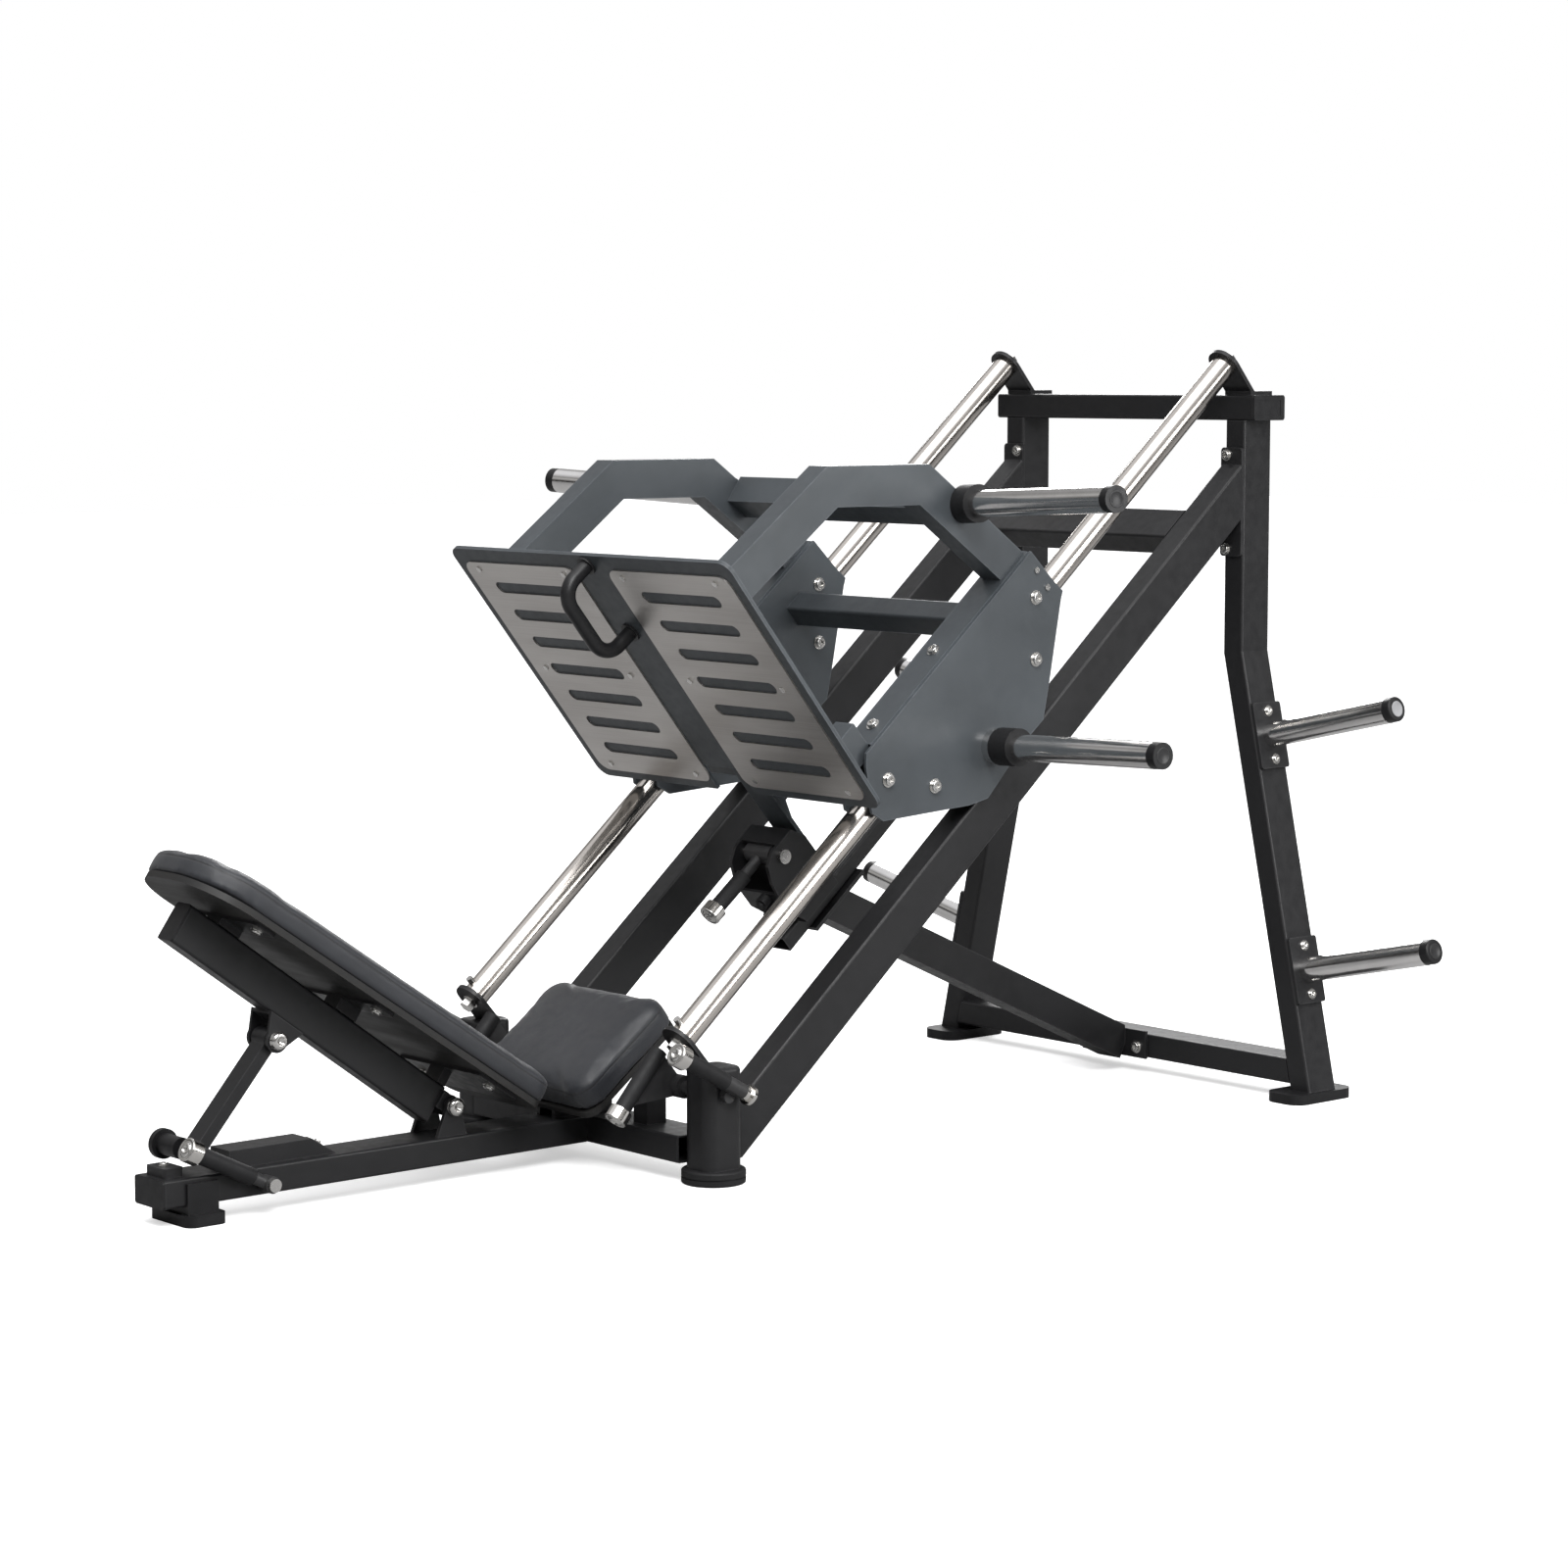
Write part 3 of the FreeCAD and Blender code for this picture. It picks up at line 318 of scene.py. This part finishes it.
brushed = Finish("brushed_tread", (0.52, 0.49, 0.465), 0.34, 1.0)
grain = brushed.noise(1.0, 6.0, brushed.stretched((900.0, 5.0, 900.0)))
cloud = brushed.ranged(brushed.noise(3.0, 3.0, brushed.stretched((2.0, 1.0, 6.0))), 0, 1)
tone = brushed.blend(cloud, (0.45, 0.425, 0.405), (0.60, 0.575, 0.55))
brushed.set("Base Color", brushed.blend(brushed.ranged(grain, 0, 0.6), tone, (0.70, 0.68, 0.655)))
brushed.set("Roughness", brushed.ranged(grain, 0.30, 0.46))
brushed.relief(grain, 0.16, 0.0002)
print("metals:", rod_chrome.name, horn_chrome.name, bolt_steel.name, brushed.material.name)

# %% [markdown]
# ## Rubber, plastic and board
# Grips and bump stops are matt rubber with a pebbled skin, end caps are moulded plastic with a fine spark-eroded
# grain, and the boards under the cushions are plywood painted black, where the grain still shows through the paint.

# %% Soft-touch and moulded finishes
def moulded(name, colour, roughness, grain_scale, depth, strength=0.3):
    """An even dark colour with a cell pattern pressed into it."""
    skin = Finish(name, colour, roughness)
    cells = skin.node("ShaderNodeTexVoronoi", feature="SMOOTH_F1")
    cells.inputs["Scale"].default_value = grain_scale
    skin.link(skin.place, cells.inputs["Vector"])
    clouds = skin.ranged(skin.noise(18.0, 4.0), 0, 1)
    skin.set("Base Color", skin.blend(clouds, shade(colour, 0.7), shade(colour, 1.1)))
    skin.set("Roughness", skin.ranged(skin.noise(60.0), roughness - 0.07, roughness + 0.07))
    skin.shader.inputs["Specular IOR Level"].default_value = 0.3
    skin.relief(cells.outputs["Distance"], strength, depth)
    return skin.material


grip_rubber = moulded("grip_rubber", (0.014, 0.014, 0.015), 0.60, 700.0, 0.0004, 0.35)
cap_plastic = moulded("cap_plastic", (0.012, 0.012, 0.013), 0.42, 1100.0, 0.0002, 0.2)
board = Finish("painted_board", (0.022, 0.021, 0.020), 0.55)
plies = board.noise(1.0, 6.0, board.stretched((30.0, 6.0, 30.0)))
board.set("Base Color", board.blend(board.ranged(plies, 0, 1), (0.009, 0.009, 0.009), (0.017, 0.016, 0.015)))
board.set("Roughness", board.ranged(plies, 0.48, 0.66))
board.relief(plies, 0.25, 0.0006)
print("soft finishes:", grip_rubber.name, cap_plastic.name, board.material.name)

# %% [markdown]
# ## Levers in two finishes
# A lever is one welded piece: black bar and hub, bright turned cap. The finish tells them apart by distance: inside a
# ball round each cap's centre it is chrome, outside it is paint. This needs no extra piece, and since the pattern is
# read from the lever's own coordinates it stays in place when the lever turns.

# %% Lever finish
def lever_finish(name, bright_balls):
    """Chrome where the point is nearer to a ball's centre than that ball's radius, and black paint elsewhere."""
    lever = Finish(name, (0.02, 0.02, 0.02), 0.4)
    mask = None
    for centre, radius in bright_balls:
        gap = lever.node("ShaderNodeVectorMath", operation="DISTANCE")
        gap.inputs[1].default_value = centre
        lever.link(lever.place, gap.inputs[0])
        inside = lever.node("ShaderNodeMath", operation="LESS_THAN")
        inside.inputs[1].default_value = radius
        lever.link(gap.outputs["Value"], inside.inputs[0])
        if mask is None:
            mask = inside.outputs[0]
        else:
            either = lever.node("ShaderNodeMath", operation="MAXIMUM")
            lever.link(mask, either.inputs[0])
            lever.link(inside.outputs[0], either.inputs[1])
            mask = either.outputs[0]
    lever.set("Metallic", mask)
    speckle = lever.ranged(lever.noise(40.0, 4.0), 0, 1)
    paint = lever.blend(speckle, (0.024, 0.024, 0.025), (0.036, 0.036, 0.037))
    bright = lever.blend(speckle, (0.70, 0.68, 0.65), (0.80, 0.78, 0.75))
    lever.set("Base Color", lever.blend(mask, paint, bright))
    rough = lever.node("ShaderNodeMix", data_type="FLOAT")
    lever.link(mask, rough.inputs[0])
    lever.link(lever.ranged(speckle, 0.34, 0.48, 0, 1), rough.inputs[2])
    lever.link(lever.ranged(speckle, 0.08, 0.20, 0, 1), rough.inputs[3])
    lever.set("Roughness", rough.outputs[0])
    lever.relief(lever.noise(600.0, 2.0), 0.06, 0.0003)
    return lever.material


MIDDLE = 0.892                       # the machine's own X origin, measured from its backrest pivot side
ROD_FOOT = np.array([0.572 - MIDDLE, 0.0, 0.2596])
ALONG = np.array([math.cos(ROD_SLOPE), 0, math.sin(ROD_SLOPE)])
SQUARE = np.array([-math.sin(ROD_SLOPE), 0, math.cos(ROD_SLOPE)])
SIDEWAYS = np.array([0.0, 1.0, 0.0])


def point(x, y, z):
    """A point given in the maker's layout, in metres from the backrest pivot side, moved to the middle."""
    return np.array([x - MIDDLE, y, z])


def on_rods(along, y, square):
    """A point given along the rods, across them and square to them."""
    return ROD_FOOT + along * ALONG + y * SIDEWAYS + square * SQUARE


outer_bar = (point(0.655, 0.405, 0.161), point(0.485, 0.405, 0.255))
inner_bar = (point(0.572, 0.250, 0.232), point(0.470, 0.250, 0.117))
adjust_bar = (point(-0.140, -0.062, 0.055), point(-0.305, -0.062, 0.137))
stop_bar = (on_rods(0.524, 0, -0.095), on_rods(0.352, 0, -0.090))
flip = np.array([1, -1, 1])


def cap_centre(bar):
    """A point in the middle of the 22 mm cap at the far end of a bar."""
    run = (bar[1] - bar[0]) / np.linalg.norm(bar[1] - bar[0])
    return tuple(bar[1] - run * 0.011)


left_balls = [(cap_centre(outer_bar), 0.030), (cap_centre(inner_bar), 0.030), (tuple(outer_bar[0]), 0.024)]
right_balls = [(tuple(np.array(c) * flip), r) for c, r in left_balls]
hand_left = lever_finish("hand_lever_left", left_balls)
hand_right = lever_finish("hand_lever_right", right_balls)
adjust_finish = lever_finish("release_lever", [(cap_centre(adjust_bar), 0.030)])
stop_finish = lever_finish("stop_lever", [(cap_centre(stop_bar), 0.030)])
print("levers:", hand_left.name, hand_right.name, adjust_finish.name, stop_finish.name)

# %% [markdown]
# ## Dress the loaded parts
# Each part takes one finish. The table lists only the parts that aren't frame black, and anything not named in it
# gets the frame's coat, so no part can be left bare.

# %% Hand out the finishes
FINISH_OF = {
    carriage_grey: "side_plates box_covers arches foot_plate bearing_housings horn_cross_tube mid_cross_tube "
                   "lower_cross_tube",
    rod_chrome: "guide_rods",
    horn_chrome: "storage_horns carriage_horns",
    bolt_steel: "linear_bushes carriage_bolts frame_bolts back_bolts pivot_bolts",
    brushed.material: "treads",
    grip_rubber: "horn_collars hand_grips_left hand_grips_right adjust_grip stop_grip stop_bumpers front_feet",
    cap_plastic: "tube_end_caps storage_horn_caps carriage_horn_caps back_tube_cap strut_knob rear_feet seat_end_foot",
    board.material: "seat_board back_board",
    hand_left: "hand_lever_left",
    hand_right: "hand_lever_right",
    adjust_finish: "adjust_lever",
    stop_finish: "stop_lever",
}
chosen = {node: finish for finish, names in FINISH_OF.items() for node in names.split()}
for name, part in parts.items():
    finish = chosen.get(name, frame_black)
    if not part.data.materials:
        part.data.materials.append(finish)
    for i in range(len(part.data.materials)):
        part.data.materials[i] = finish
print("dressed:", len(parts), "of which in frame black:", len(parts) - len(chosen))

# %% [markdown]
# ## Cushion covers
# The covers are black vinyl, embossed with a fine leather grain, pulled tight over foam on a board. A closed seam
# runs round each cushion where the top panel meets the side band. Real upholstery bulges because the foam pushes
# out against a cover that can't stretch, so the shape comes from a cloth simulation with air pressure inside. The
# cushion's solid is copied, made slightly smaller, remeshed evenly, swollen, and trimmed flat against its board.

# %% Vinyl
def vinyl(name, seam_attribute):
    """Leather grain from cells with wavering edges, and a pressed seam line where the distance attribute nears zero."""
    cover = Finish(name, (0.032, 0.034, 0.039), 0.42)
    cells = cover.node("ShaderNodeTexVoronoi", feature="DISTANCE_TO_EDGE")
    cells.inputs["Scale"].default_value = 520.0
    wobble = cover.node("ShaderNodeVectorMath", operation="ADD")
    noise = cover.node("ShaderNodeTexNoise")
    noise.inputs["Scale"].default_value = 300.0
    small = cover.node("ShaderNodeVectorMath", operation="SCALE")
    small.inputs["Scale"].default_value = 0.002
    cover.link(cover.place, noise.inputs["Vector"])
    cover.link(noise.outputs["Color"], small.inputs[0])
    cover.link(cover.place, wobble.inputs[0])
    cover.link(small.outputs[0], wobble.inputs[1])
    cover.link(wobble.outputs[0], cells.inputs["Vector"])
    pebbles = cover.ranged(cells.outputs["Distance"], 0.0, 1.0, 0.0, 0.25)
    clouds = cover.ranged(cover.noise(9.0, 5.0), 0, 1)
    body = cover.blend(clouds, (0.0150, 0.0165, 0.0205), (0.0230, 0.0250, 0.0305))
    seam = cover.node("ShaderNodeAttribute", attribute_name=seam_attribute)
    away = cover.node("ShaderNodeMath", operation="ABSOLUTE")
    cover.link(seam.outputs["Fac"], away.inputs[0])
    groove = cover.ranged(away.outputs[0], 0.0, 1.0, 0.0004, 0.0022)
    cover.set("Base Color", cover.blend(groove, (0.012, 0.012, 0.014), body))
    cover.set("Roughness", cover.ranged(cover.noise(45.0, 4.0), 0.36, 0.50))
    cover.shader.inputs["Sheen Weight"].default_value = 0.12
    cover.shader.inputs["Sheen Roughness"].default_value = 0.5
    height = cover.node("ShaderNodeMath", operation="MULTIPLY_ADD")
    cover.link(groove, height.inputs[0])
    height.inputs[1].default_value = 4.0
    cover.link(pebbles, height.inputs[2])
    cover.relief(height.outputs[0], 0.35, 0.0004)
    return cover.material


cushion_vinyl = vinyl("cushion_vinyl", "seam_gap")
print("cover:", cushion_vinyl.name)

# %% Cushion axes
SEAT_SLOPE = math.radians(37.2)
PAD_SLOPE = math.radians(33.9)
SEAT_AXES = (point(0.450, 0, 0.158), np.array([
    [math.cos(SEAT_SLOPE), 0, math.sin(SEAT_SLOPE)], [0, 1, 0], [-math.sin(SEAT_SLOPE), 0, math.cos(SEAT_SLOPE)]]))
PAD_AXES = (point(0.269, 0, 0.280), np.array([
    [-math.cos(PAD_SLOPE), 0, math.sin(PAD_SLOPE)], [0, -1, 0], [math.sin(PAD_SLOPE), 0, math.cos(PAD_SLOPE)]]))


def read_points(mesh):
    """Every vertex of a mesh as rows of x, y, z."""
    flat = np.empty(len(mesh.vertices) * 3)
    mesh.vertices.foreach_get("co", flat)
    return flat.reshape(-1, 3)


def write_points(mesh, points):
    mesh.vertices.foreach_set("co", np.asarray(points, float).ravel())
    mesh.update()


print("seat origin:", SEAT_AXES[0].round(3), " back origin:", PAD_AXES[0].round(3))

# %% Cloth-swollen cushion
CROWN, CROWN_REACH = 0.004, 0.09     # rise of the middle of a cushion, and how far in from the edge it builds up
TOP_DROP, TOP_LIMIT = 0.003, 0.006   # the top starts this much lower, and never passes this height
SEAM_PULL = 0.0012                   # how deep the seam draws the skin in


def outline_gap(x, y, spans, radii):
    """Signed distance in the plane to a rectangle with its own corner radius at each end, negative inside."""
    (x0, x1), half = spans
    radius = np.where(x > (x0 + x1) / 2, radii[1], radii[0])
    dx = np.where(x > (x0 + x1) / 2, x - (x1 - radius), (x0 + radius) - x)
    dy = np.abs(y) - (half - radius)
    return np.hypot(np.maximum(dx, 0), np.maximum(dy, 0)) + np.minimum(np.maximum(dx, dy), 0) - radius


def sewn_cushion(name, node, axes, spans, radii, thick, seam_depth, voxel=0.006, swell=0.007):
    """Copy, shrink, remesh, inflate, cap the swelling, press the seam in and trim the base flat."""
    origin, turn = axes
    mesh = parts[node].data.copy()
    cushion = bpy.data.objects.new(name, mesh)
    bpy.context.scene.collection.objects.link(cushion)
    local = (read_points(mesh) - origin) @ turn.T
    middle = (local.max(0) + local.min(0)) / 2
    size = local.max(0) - local.min(0)
    shrink = (size - 0.006) / size
    shrink[2] = (size[2] - 0.003) / size[2]
    local = (local - middle) * shrink + middle
    local[:, 2] += (-thick - local[:, 2].min())
    write_points(mesh, local)
    work = bmesh.new()
    work.from_mesh(mesh)
    bmesh.ops.remove_doubles(work, verts=work.verts, dist=1e-5)
    work.to_mesh(mesh)
    work.free()
    remesh = cushion.modifiers.new("even", "REMESH")
    remesh.mode = "VOXEL"
    remesh.voxel_size = voxel
    before = baked(cushion)
    cloth = cushion.modifiers.new("cloth", "CLOTH")
    cloth.settings.use_pressure = True
    cloth.settings.uniform_pressure_force = 4.0
    cloth.settings.effector_weights.gravity = 0.0
    cloth.point_cache.frame_start, cloth.point_cache.frame_end = 1, 20
    for step in range(1, 21):
        bpy.context.scene.frame_set(step)
    after = baked(cushion)
    bpy.context.scene.frame_set(1)
    cushion.modifiers.remove(cloth)
    start, end = read_points(before), read_points(after)
    move = end - start
    reach = np.linalg.norm(move, axis=1, keepdims=True)
    points = start + move * np.minimum(1.0, swell / np.maximum(reach, 1e-9))
    mesh = before
    cushion.modifiers.clear()
    cushion.data = mesh
    points = settle(points, spans, radii, thick, seam_depth)
    write_points(mesh, points)
    smooth = cushion.modifiers.new("smooth", "SUBSURF")
    smooth.levels = smooth.render_levels = 1
    mesh = baked(cushion)
    cushion.modifiers.clear()
    cushion.data = mesh
    points = read_points(mesh)
    gap = seam_gap(points, spans, radii, seam_depth)
    attribute = mesh.attributes.new("seam_gap", "FLOAT", "POINT")
    attribute.data.foreach_set("value", gap)
    write_points(mesh, points @ turn + origin)
    mesh.shade_smooth()
    mesh.materials.clear()
    mesh.materials.append(cushion_vinyl)
    return cushion


def baked(thing):
    """A fresh mesh holding what the modifiers make now."""
    graph = bpy.context.evaluated_depsgraph_get()
    return bpy.data.meshes.new_from_object(thing.evaluated_get(graph), depsgraph=graph)


def seam_gap(points, spans, radii, depth):
    """Distance from the seam, which runs round the side at a fixed depth below the top face."""
    edge = outline_gap(points[:, 0], points[:, 1], spans, radii)
    away = np.where(edge > -0.03, points[:, 2] + depth, 0.05)
    return np.where(np.abs(away) < 0.05, away, 0.05)


def settle(points, spans, radii, thick, seam_depth):
    """Raise the top by CROWN times 1 - (1 - distance from the edge / CROWN_REACH) squared, push the skin in by
    SEAM_PULL along the seam, where a bell curve of the depth is near one, and keep the base on its board."""
    edge = outline_gap(points[:, 0], points[:, 1], spans, radii)
    inward = np.clip(-edge / CROWN_REACH, 0, 1)
    top = np.clip((points[:, 2] + thick * 0.5) / (thick * 0.5), 0, 1)
    points[:, 2] += CROWN * (1 - (1 - inward) ** 2) * top - TOP_DROP * top
    near = np.exp(-((points[:, 2] + seam_depth) / 0.0035) ** 2) * (edge > -0.02)
    dx = points[:, 0] - np.clip(points[:, 0], spans[0][0] + 0.05, spans[0][1] - 0.05)
    dy = points[:, 1] - np.clip(points[:, 1], 0.05 - spans[1], spans[1] - 0.05)
    length = np.maximum(np.hypot(dx, dy), 1e-6)
    points[:, 0] -= SEAM_PULL * near * dx / length
    points[:, 1] -= SEAM_PULL * near * dy / length
    points[:, 2] = np.clip(points[:, 2], -thick, TOP_LIMIT)
    return points


seat_cushion = sewn_cushion("seat_cushion", "seat_pad", SEAT_AXES,
                            ((-0.004, 0.262), 0.175), (0.045, 0.045), thick=0.058, seam_depth=0.018)
back_cushion = sewn_cushion("back_cushion", "back_pad", PAD_AXES,
                            ((-0.199, 0.664), 0.150), (0.040, 0.130), thick=0.047, seam_depth=0.016)
for cushion, node, body in ((seat_cushion, "seat_pad", "frame"), (back_cushion, "back_pad", "backrest")):
    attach(cushion, body)
    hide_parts(node)
    print(cushion.name, "faces:", len(cushion.data.polygons))

# %% [markdown]
# ## Turned fittings
# The lever caps end in a bright ring round a recessed screw, the pivots have domed bolt heads, and each weight horn
# is closed by a plug with a small disc in it. Such pieces come off a lathe, so they are a profile of radius against
# height swept round an axis. A
# cylinder with a bevel would be quicker, but the profile gives the ring, the recess and the domed head in one go.

# %% Lathe
def turned(name, places, profile, sides=40):
    """A surface of revolution: radius r(t) and height h(t) along a profile, carried round each axis by an angle u.
    point = base + axis*h + side*r*cos(u) + other*r*sin(u). The first and last profile points lie on the axis."""
    profile = np.asarray(profile, float)
    angle = np.linspace(0, 2 * math.pi, sides, endpoint=False)
    verts, faces = [], []
    for base, axis in places:
        axis = np.asarray(axis, float) / np.linalg.norm(axis)
        side = np.cross(axis, [0, 0, 1.0] if abs(axis[2]) < 0.9 else [1.0, 0, 0])
        side /= np.linalg.norm(side)
        other = np.cross(axis, side)
        r, h = profile[1:-1, 0][:, None, None], profile[1:-1, 1][:, None, None]
        ringed = base + axis * h + r * (side * np.cos(angle)[None, :, None] + other * np.sin(angle)[None, :, None])
        first = sum(len(v) for v in verts)
        rows = len(profile) - 2
        verts += [ringed.reshape(-1, 3), np.array([base + axis * profile[0, 1], base + axis * profile[-1, 1]])]
        low, high = first + rows * sides, first + rows * sides + 1
        k = np.arange(sides)
        n = (k + 1) % sides
        for row in range(rows - 1):
            a, b = first + row * sides, first + (row + 1) * sides
            faces += np.stack([a + k, a + n, b + n, b + k], 1).tolist()
        faces += np.stack([np.full(sides, low), first + n, first + k], 1).tolist()
        last = first + (rows - 1) * sides
        faces += np.stack([np.full(sides, high), last + k, last + n], 1).tolist()
    mesh = bpy.data.meshes.new(name)
    mesh.from_pydata(np.vstack(verts).tolist(), [], faces)
    mesh.shade_smooth()
    piece = bpy.data.objects.new(name, mesh)
    bpy.context.scene.collection.objects.link(piece)
    return piece


CAP_SCREW = [(0, -0.002), (0.0205, -0.002), (0.0212, 0.0004), (0.0205, 0.0018), (0.0185, 0.0022), (0.0165, 0.0014),
             (0.0128, 0.0012), (0.0122, 0.0030), (0.0108, 0.0044), (0.0070, 0.0050), (0.0062, 0.0046), (0.0060, 0.0022),
             (0, 0.0020)]


def bar_end(bar):
    """Where a lever bar ends, and the way it points there."""
    return bar[1], bar[1] - bar[0]


def mirrored(places):
    return [(np.array(p) * flip, np.array(a) * flip) for p, a in places]


fittings = [
    ("cap_screws_left", [bar_end(outer_bar), bar_end(inner_bar)], "hand_lever_left_body"),
    ("cap_screws_right", mirrored([bar_end(outer_bar), bar_end(inner_bar)]), "hand_lever_right_body"),
    ("cap_screw_release", [bar_end(adjust_bar)], "release_lever"),
    ("cap_screw_stop", [bar_end(stop_bar)], "stop_lever_body"),
]
for name, places, body in fittings:
    piece = turned(name, places, CAP_SCREW)
    piece.data.materials.append(bolt_steel)
    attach(piece, body)
    print(name, "faces:", len(piece.data.polygons))

# %% [markdown]
# ## Pivot bolts and horn plugs
# The pins of the backrest and the strut end in washers with domed heads, and the plugs in the horns have a shallow
# round face. They use the lathe again with other profiles. The heads are a hair wider than the plain pins, so they
# cover them. Another way would be to cut the sockets into the loaded parts, but those are never changed.

# %% Bolt heads on the pivots
PIVOT_HEAD = [(0, -0.0098), (0.0166, -0.0098), (0.0170, -0.0085), (0.0170, -0.0070), (0.0164, -0.0062),
              (0.0158, -0.0050), (0.0162, -0.0015), (0.0150, 0.0012), (0.0118, 0.0030), (0.0082, 0.0038), (0.0076, 0.0034),
              (0.0074, 0.0006), (0, 0.0004)]
strut_pin = point(-0.100, 0, 0.297)
back_pin = point(0.267, 0, 0.138)


def both_sides(centre, half):
    """The same point on both faces of a joint, each with its outward direction."""
    return [(centre + SIDEWAYS * s * half, SIDEWAYS * s) for s in (-1, 1)]


for name, places, body in (("pivot_heads", both_sides(back_pin, 0.0522), "frame"),
                           ("strut_pin_heads", both_sides(strut_pin, 0.0412), "backrest")):
    piece = turned(name, places, PIVOT_HEAD)
    piece.data.materials.append(bolt_steel)
    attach(piece, body)
    print(name, "faces:", len(piece.data.polygons))

# %% Plug discs
PLUG_DISC = [(0, -0.001), (0.0150, -0.001), (0.0156, 0.0001), (0.0150, 0.0006), (0.0136, 0.0008), (0.0128, 0.0003),
             (0, 0.0002)]
SPLAY = math.radians(12.71)
carriage_tips = [(point(1.155, 0.815, 1.224), np.array([1.155 - 1.238, 0.815 - 0.337, 1.224 - 1.2015])),
                 (point(1.280, 0.815, 0.761), np.array([1.280 - 1.305, 0.815 - 0.352, 0.761 - 0.744]))]
leg_out = np.array([0, math.cos(SPLAY), math.sin(SPLAY)])
leg_up = np.array([0, -math.sin(SPLAY), math.cos(SPLAY)])
storage_tips = [(point(2.044, 0.315, 0.887) + leg_out * 0.366 + leg_up * down, leg_out) for down in (-0.1755, -0.651)]
disc_grey = moulded("disc_grey", (0.30, 0.30, 0.31), 0.45, 900.0, 0.0002, 0.15)
disc_black = moulded("disc_black", (0.030, 0.030, 0.031), 0.35, 900.0, 0.0002, 0.15)
for name, tips, finish, body in (("carriage_plug_discs", carriage_tips, disc_black, "carriage"),
                                 ("storage_plug_discs_upper", storage_tips[:1], disc_grey, "frame"),
                                 ("storage_plug_discs_lower", storage_tips[1:], disc_black, "frame")):
    piece = turned(name, tips + mirrored(tips), PLUG_DISC, 36)
    piece.data.materials.append(finish)
    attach(piece, body)
    print(name, "faces:", len(piece.data.polygons))
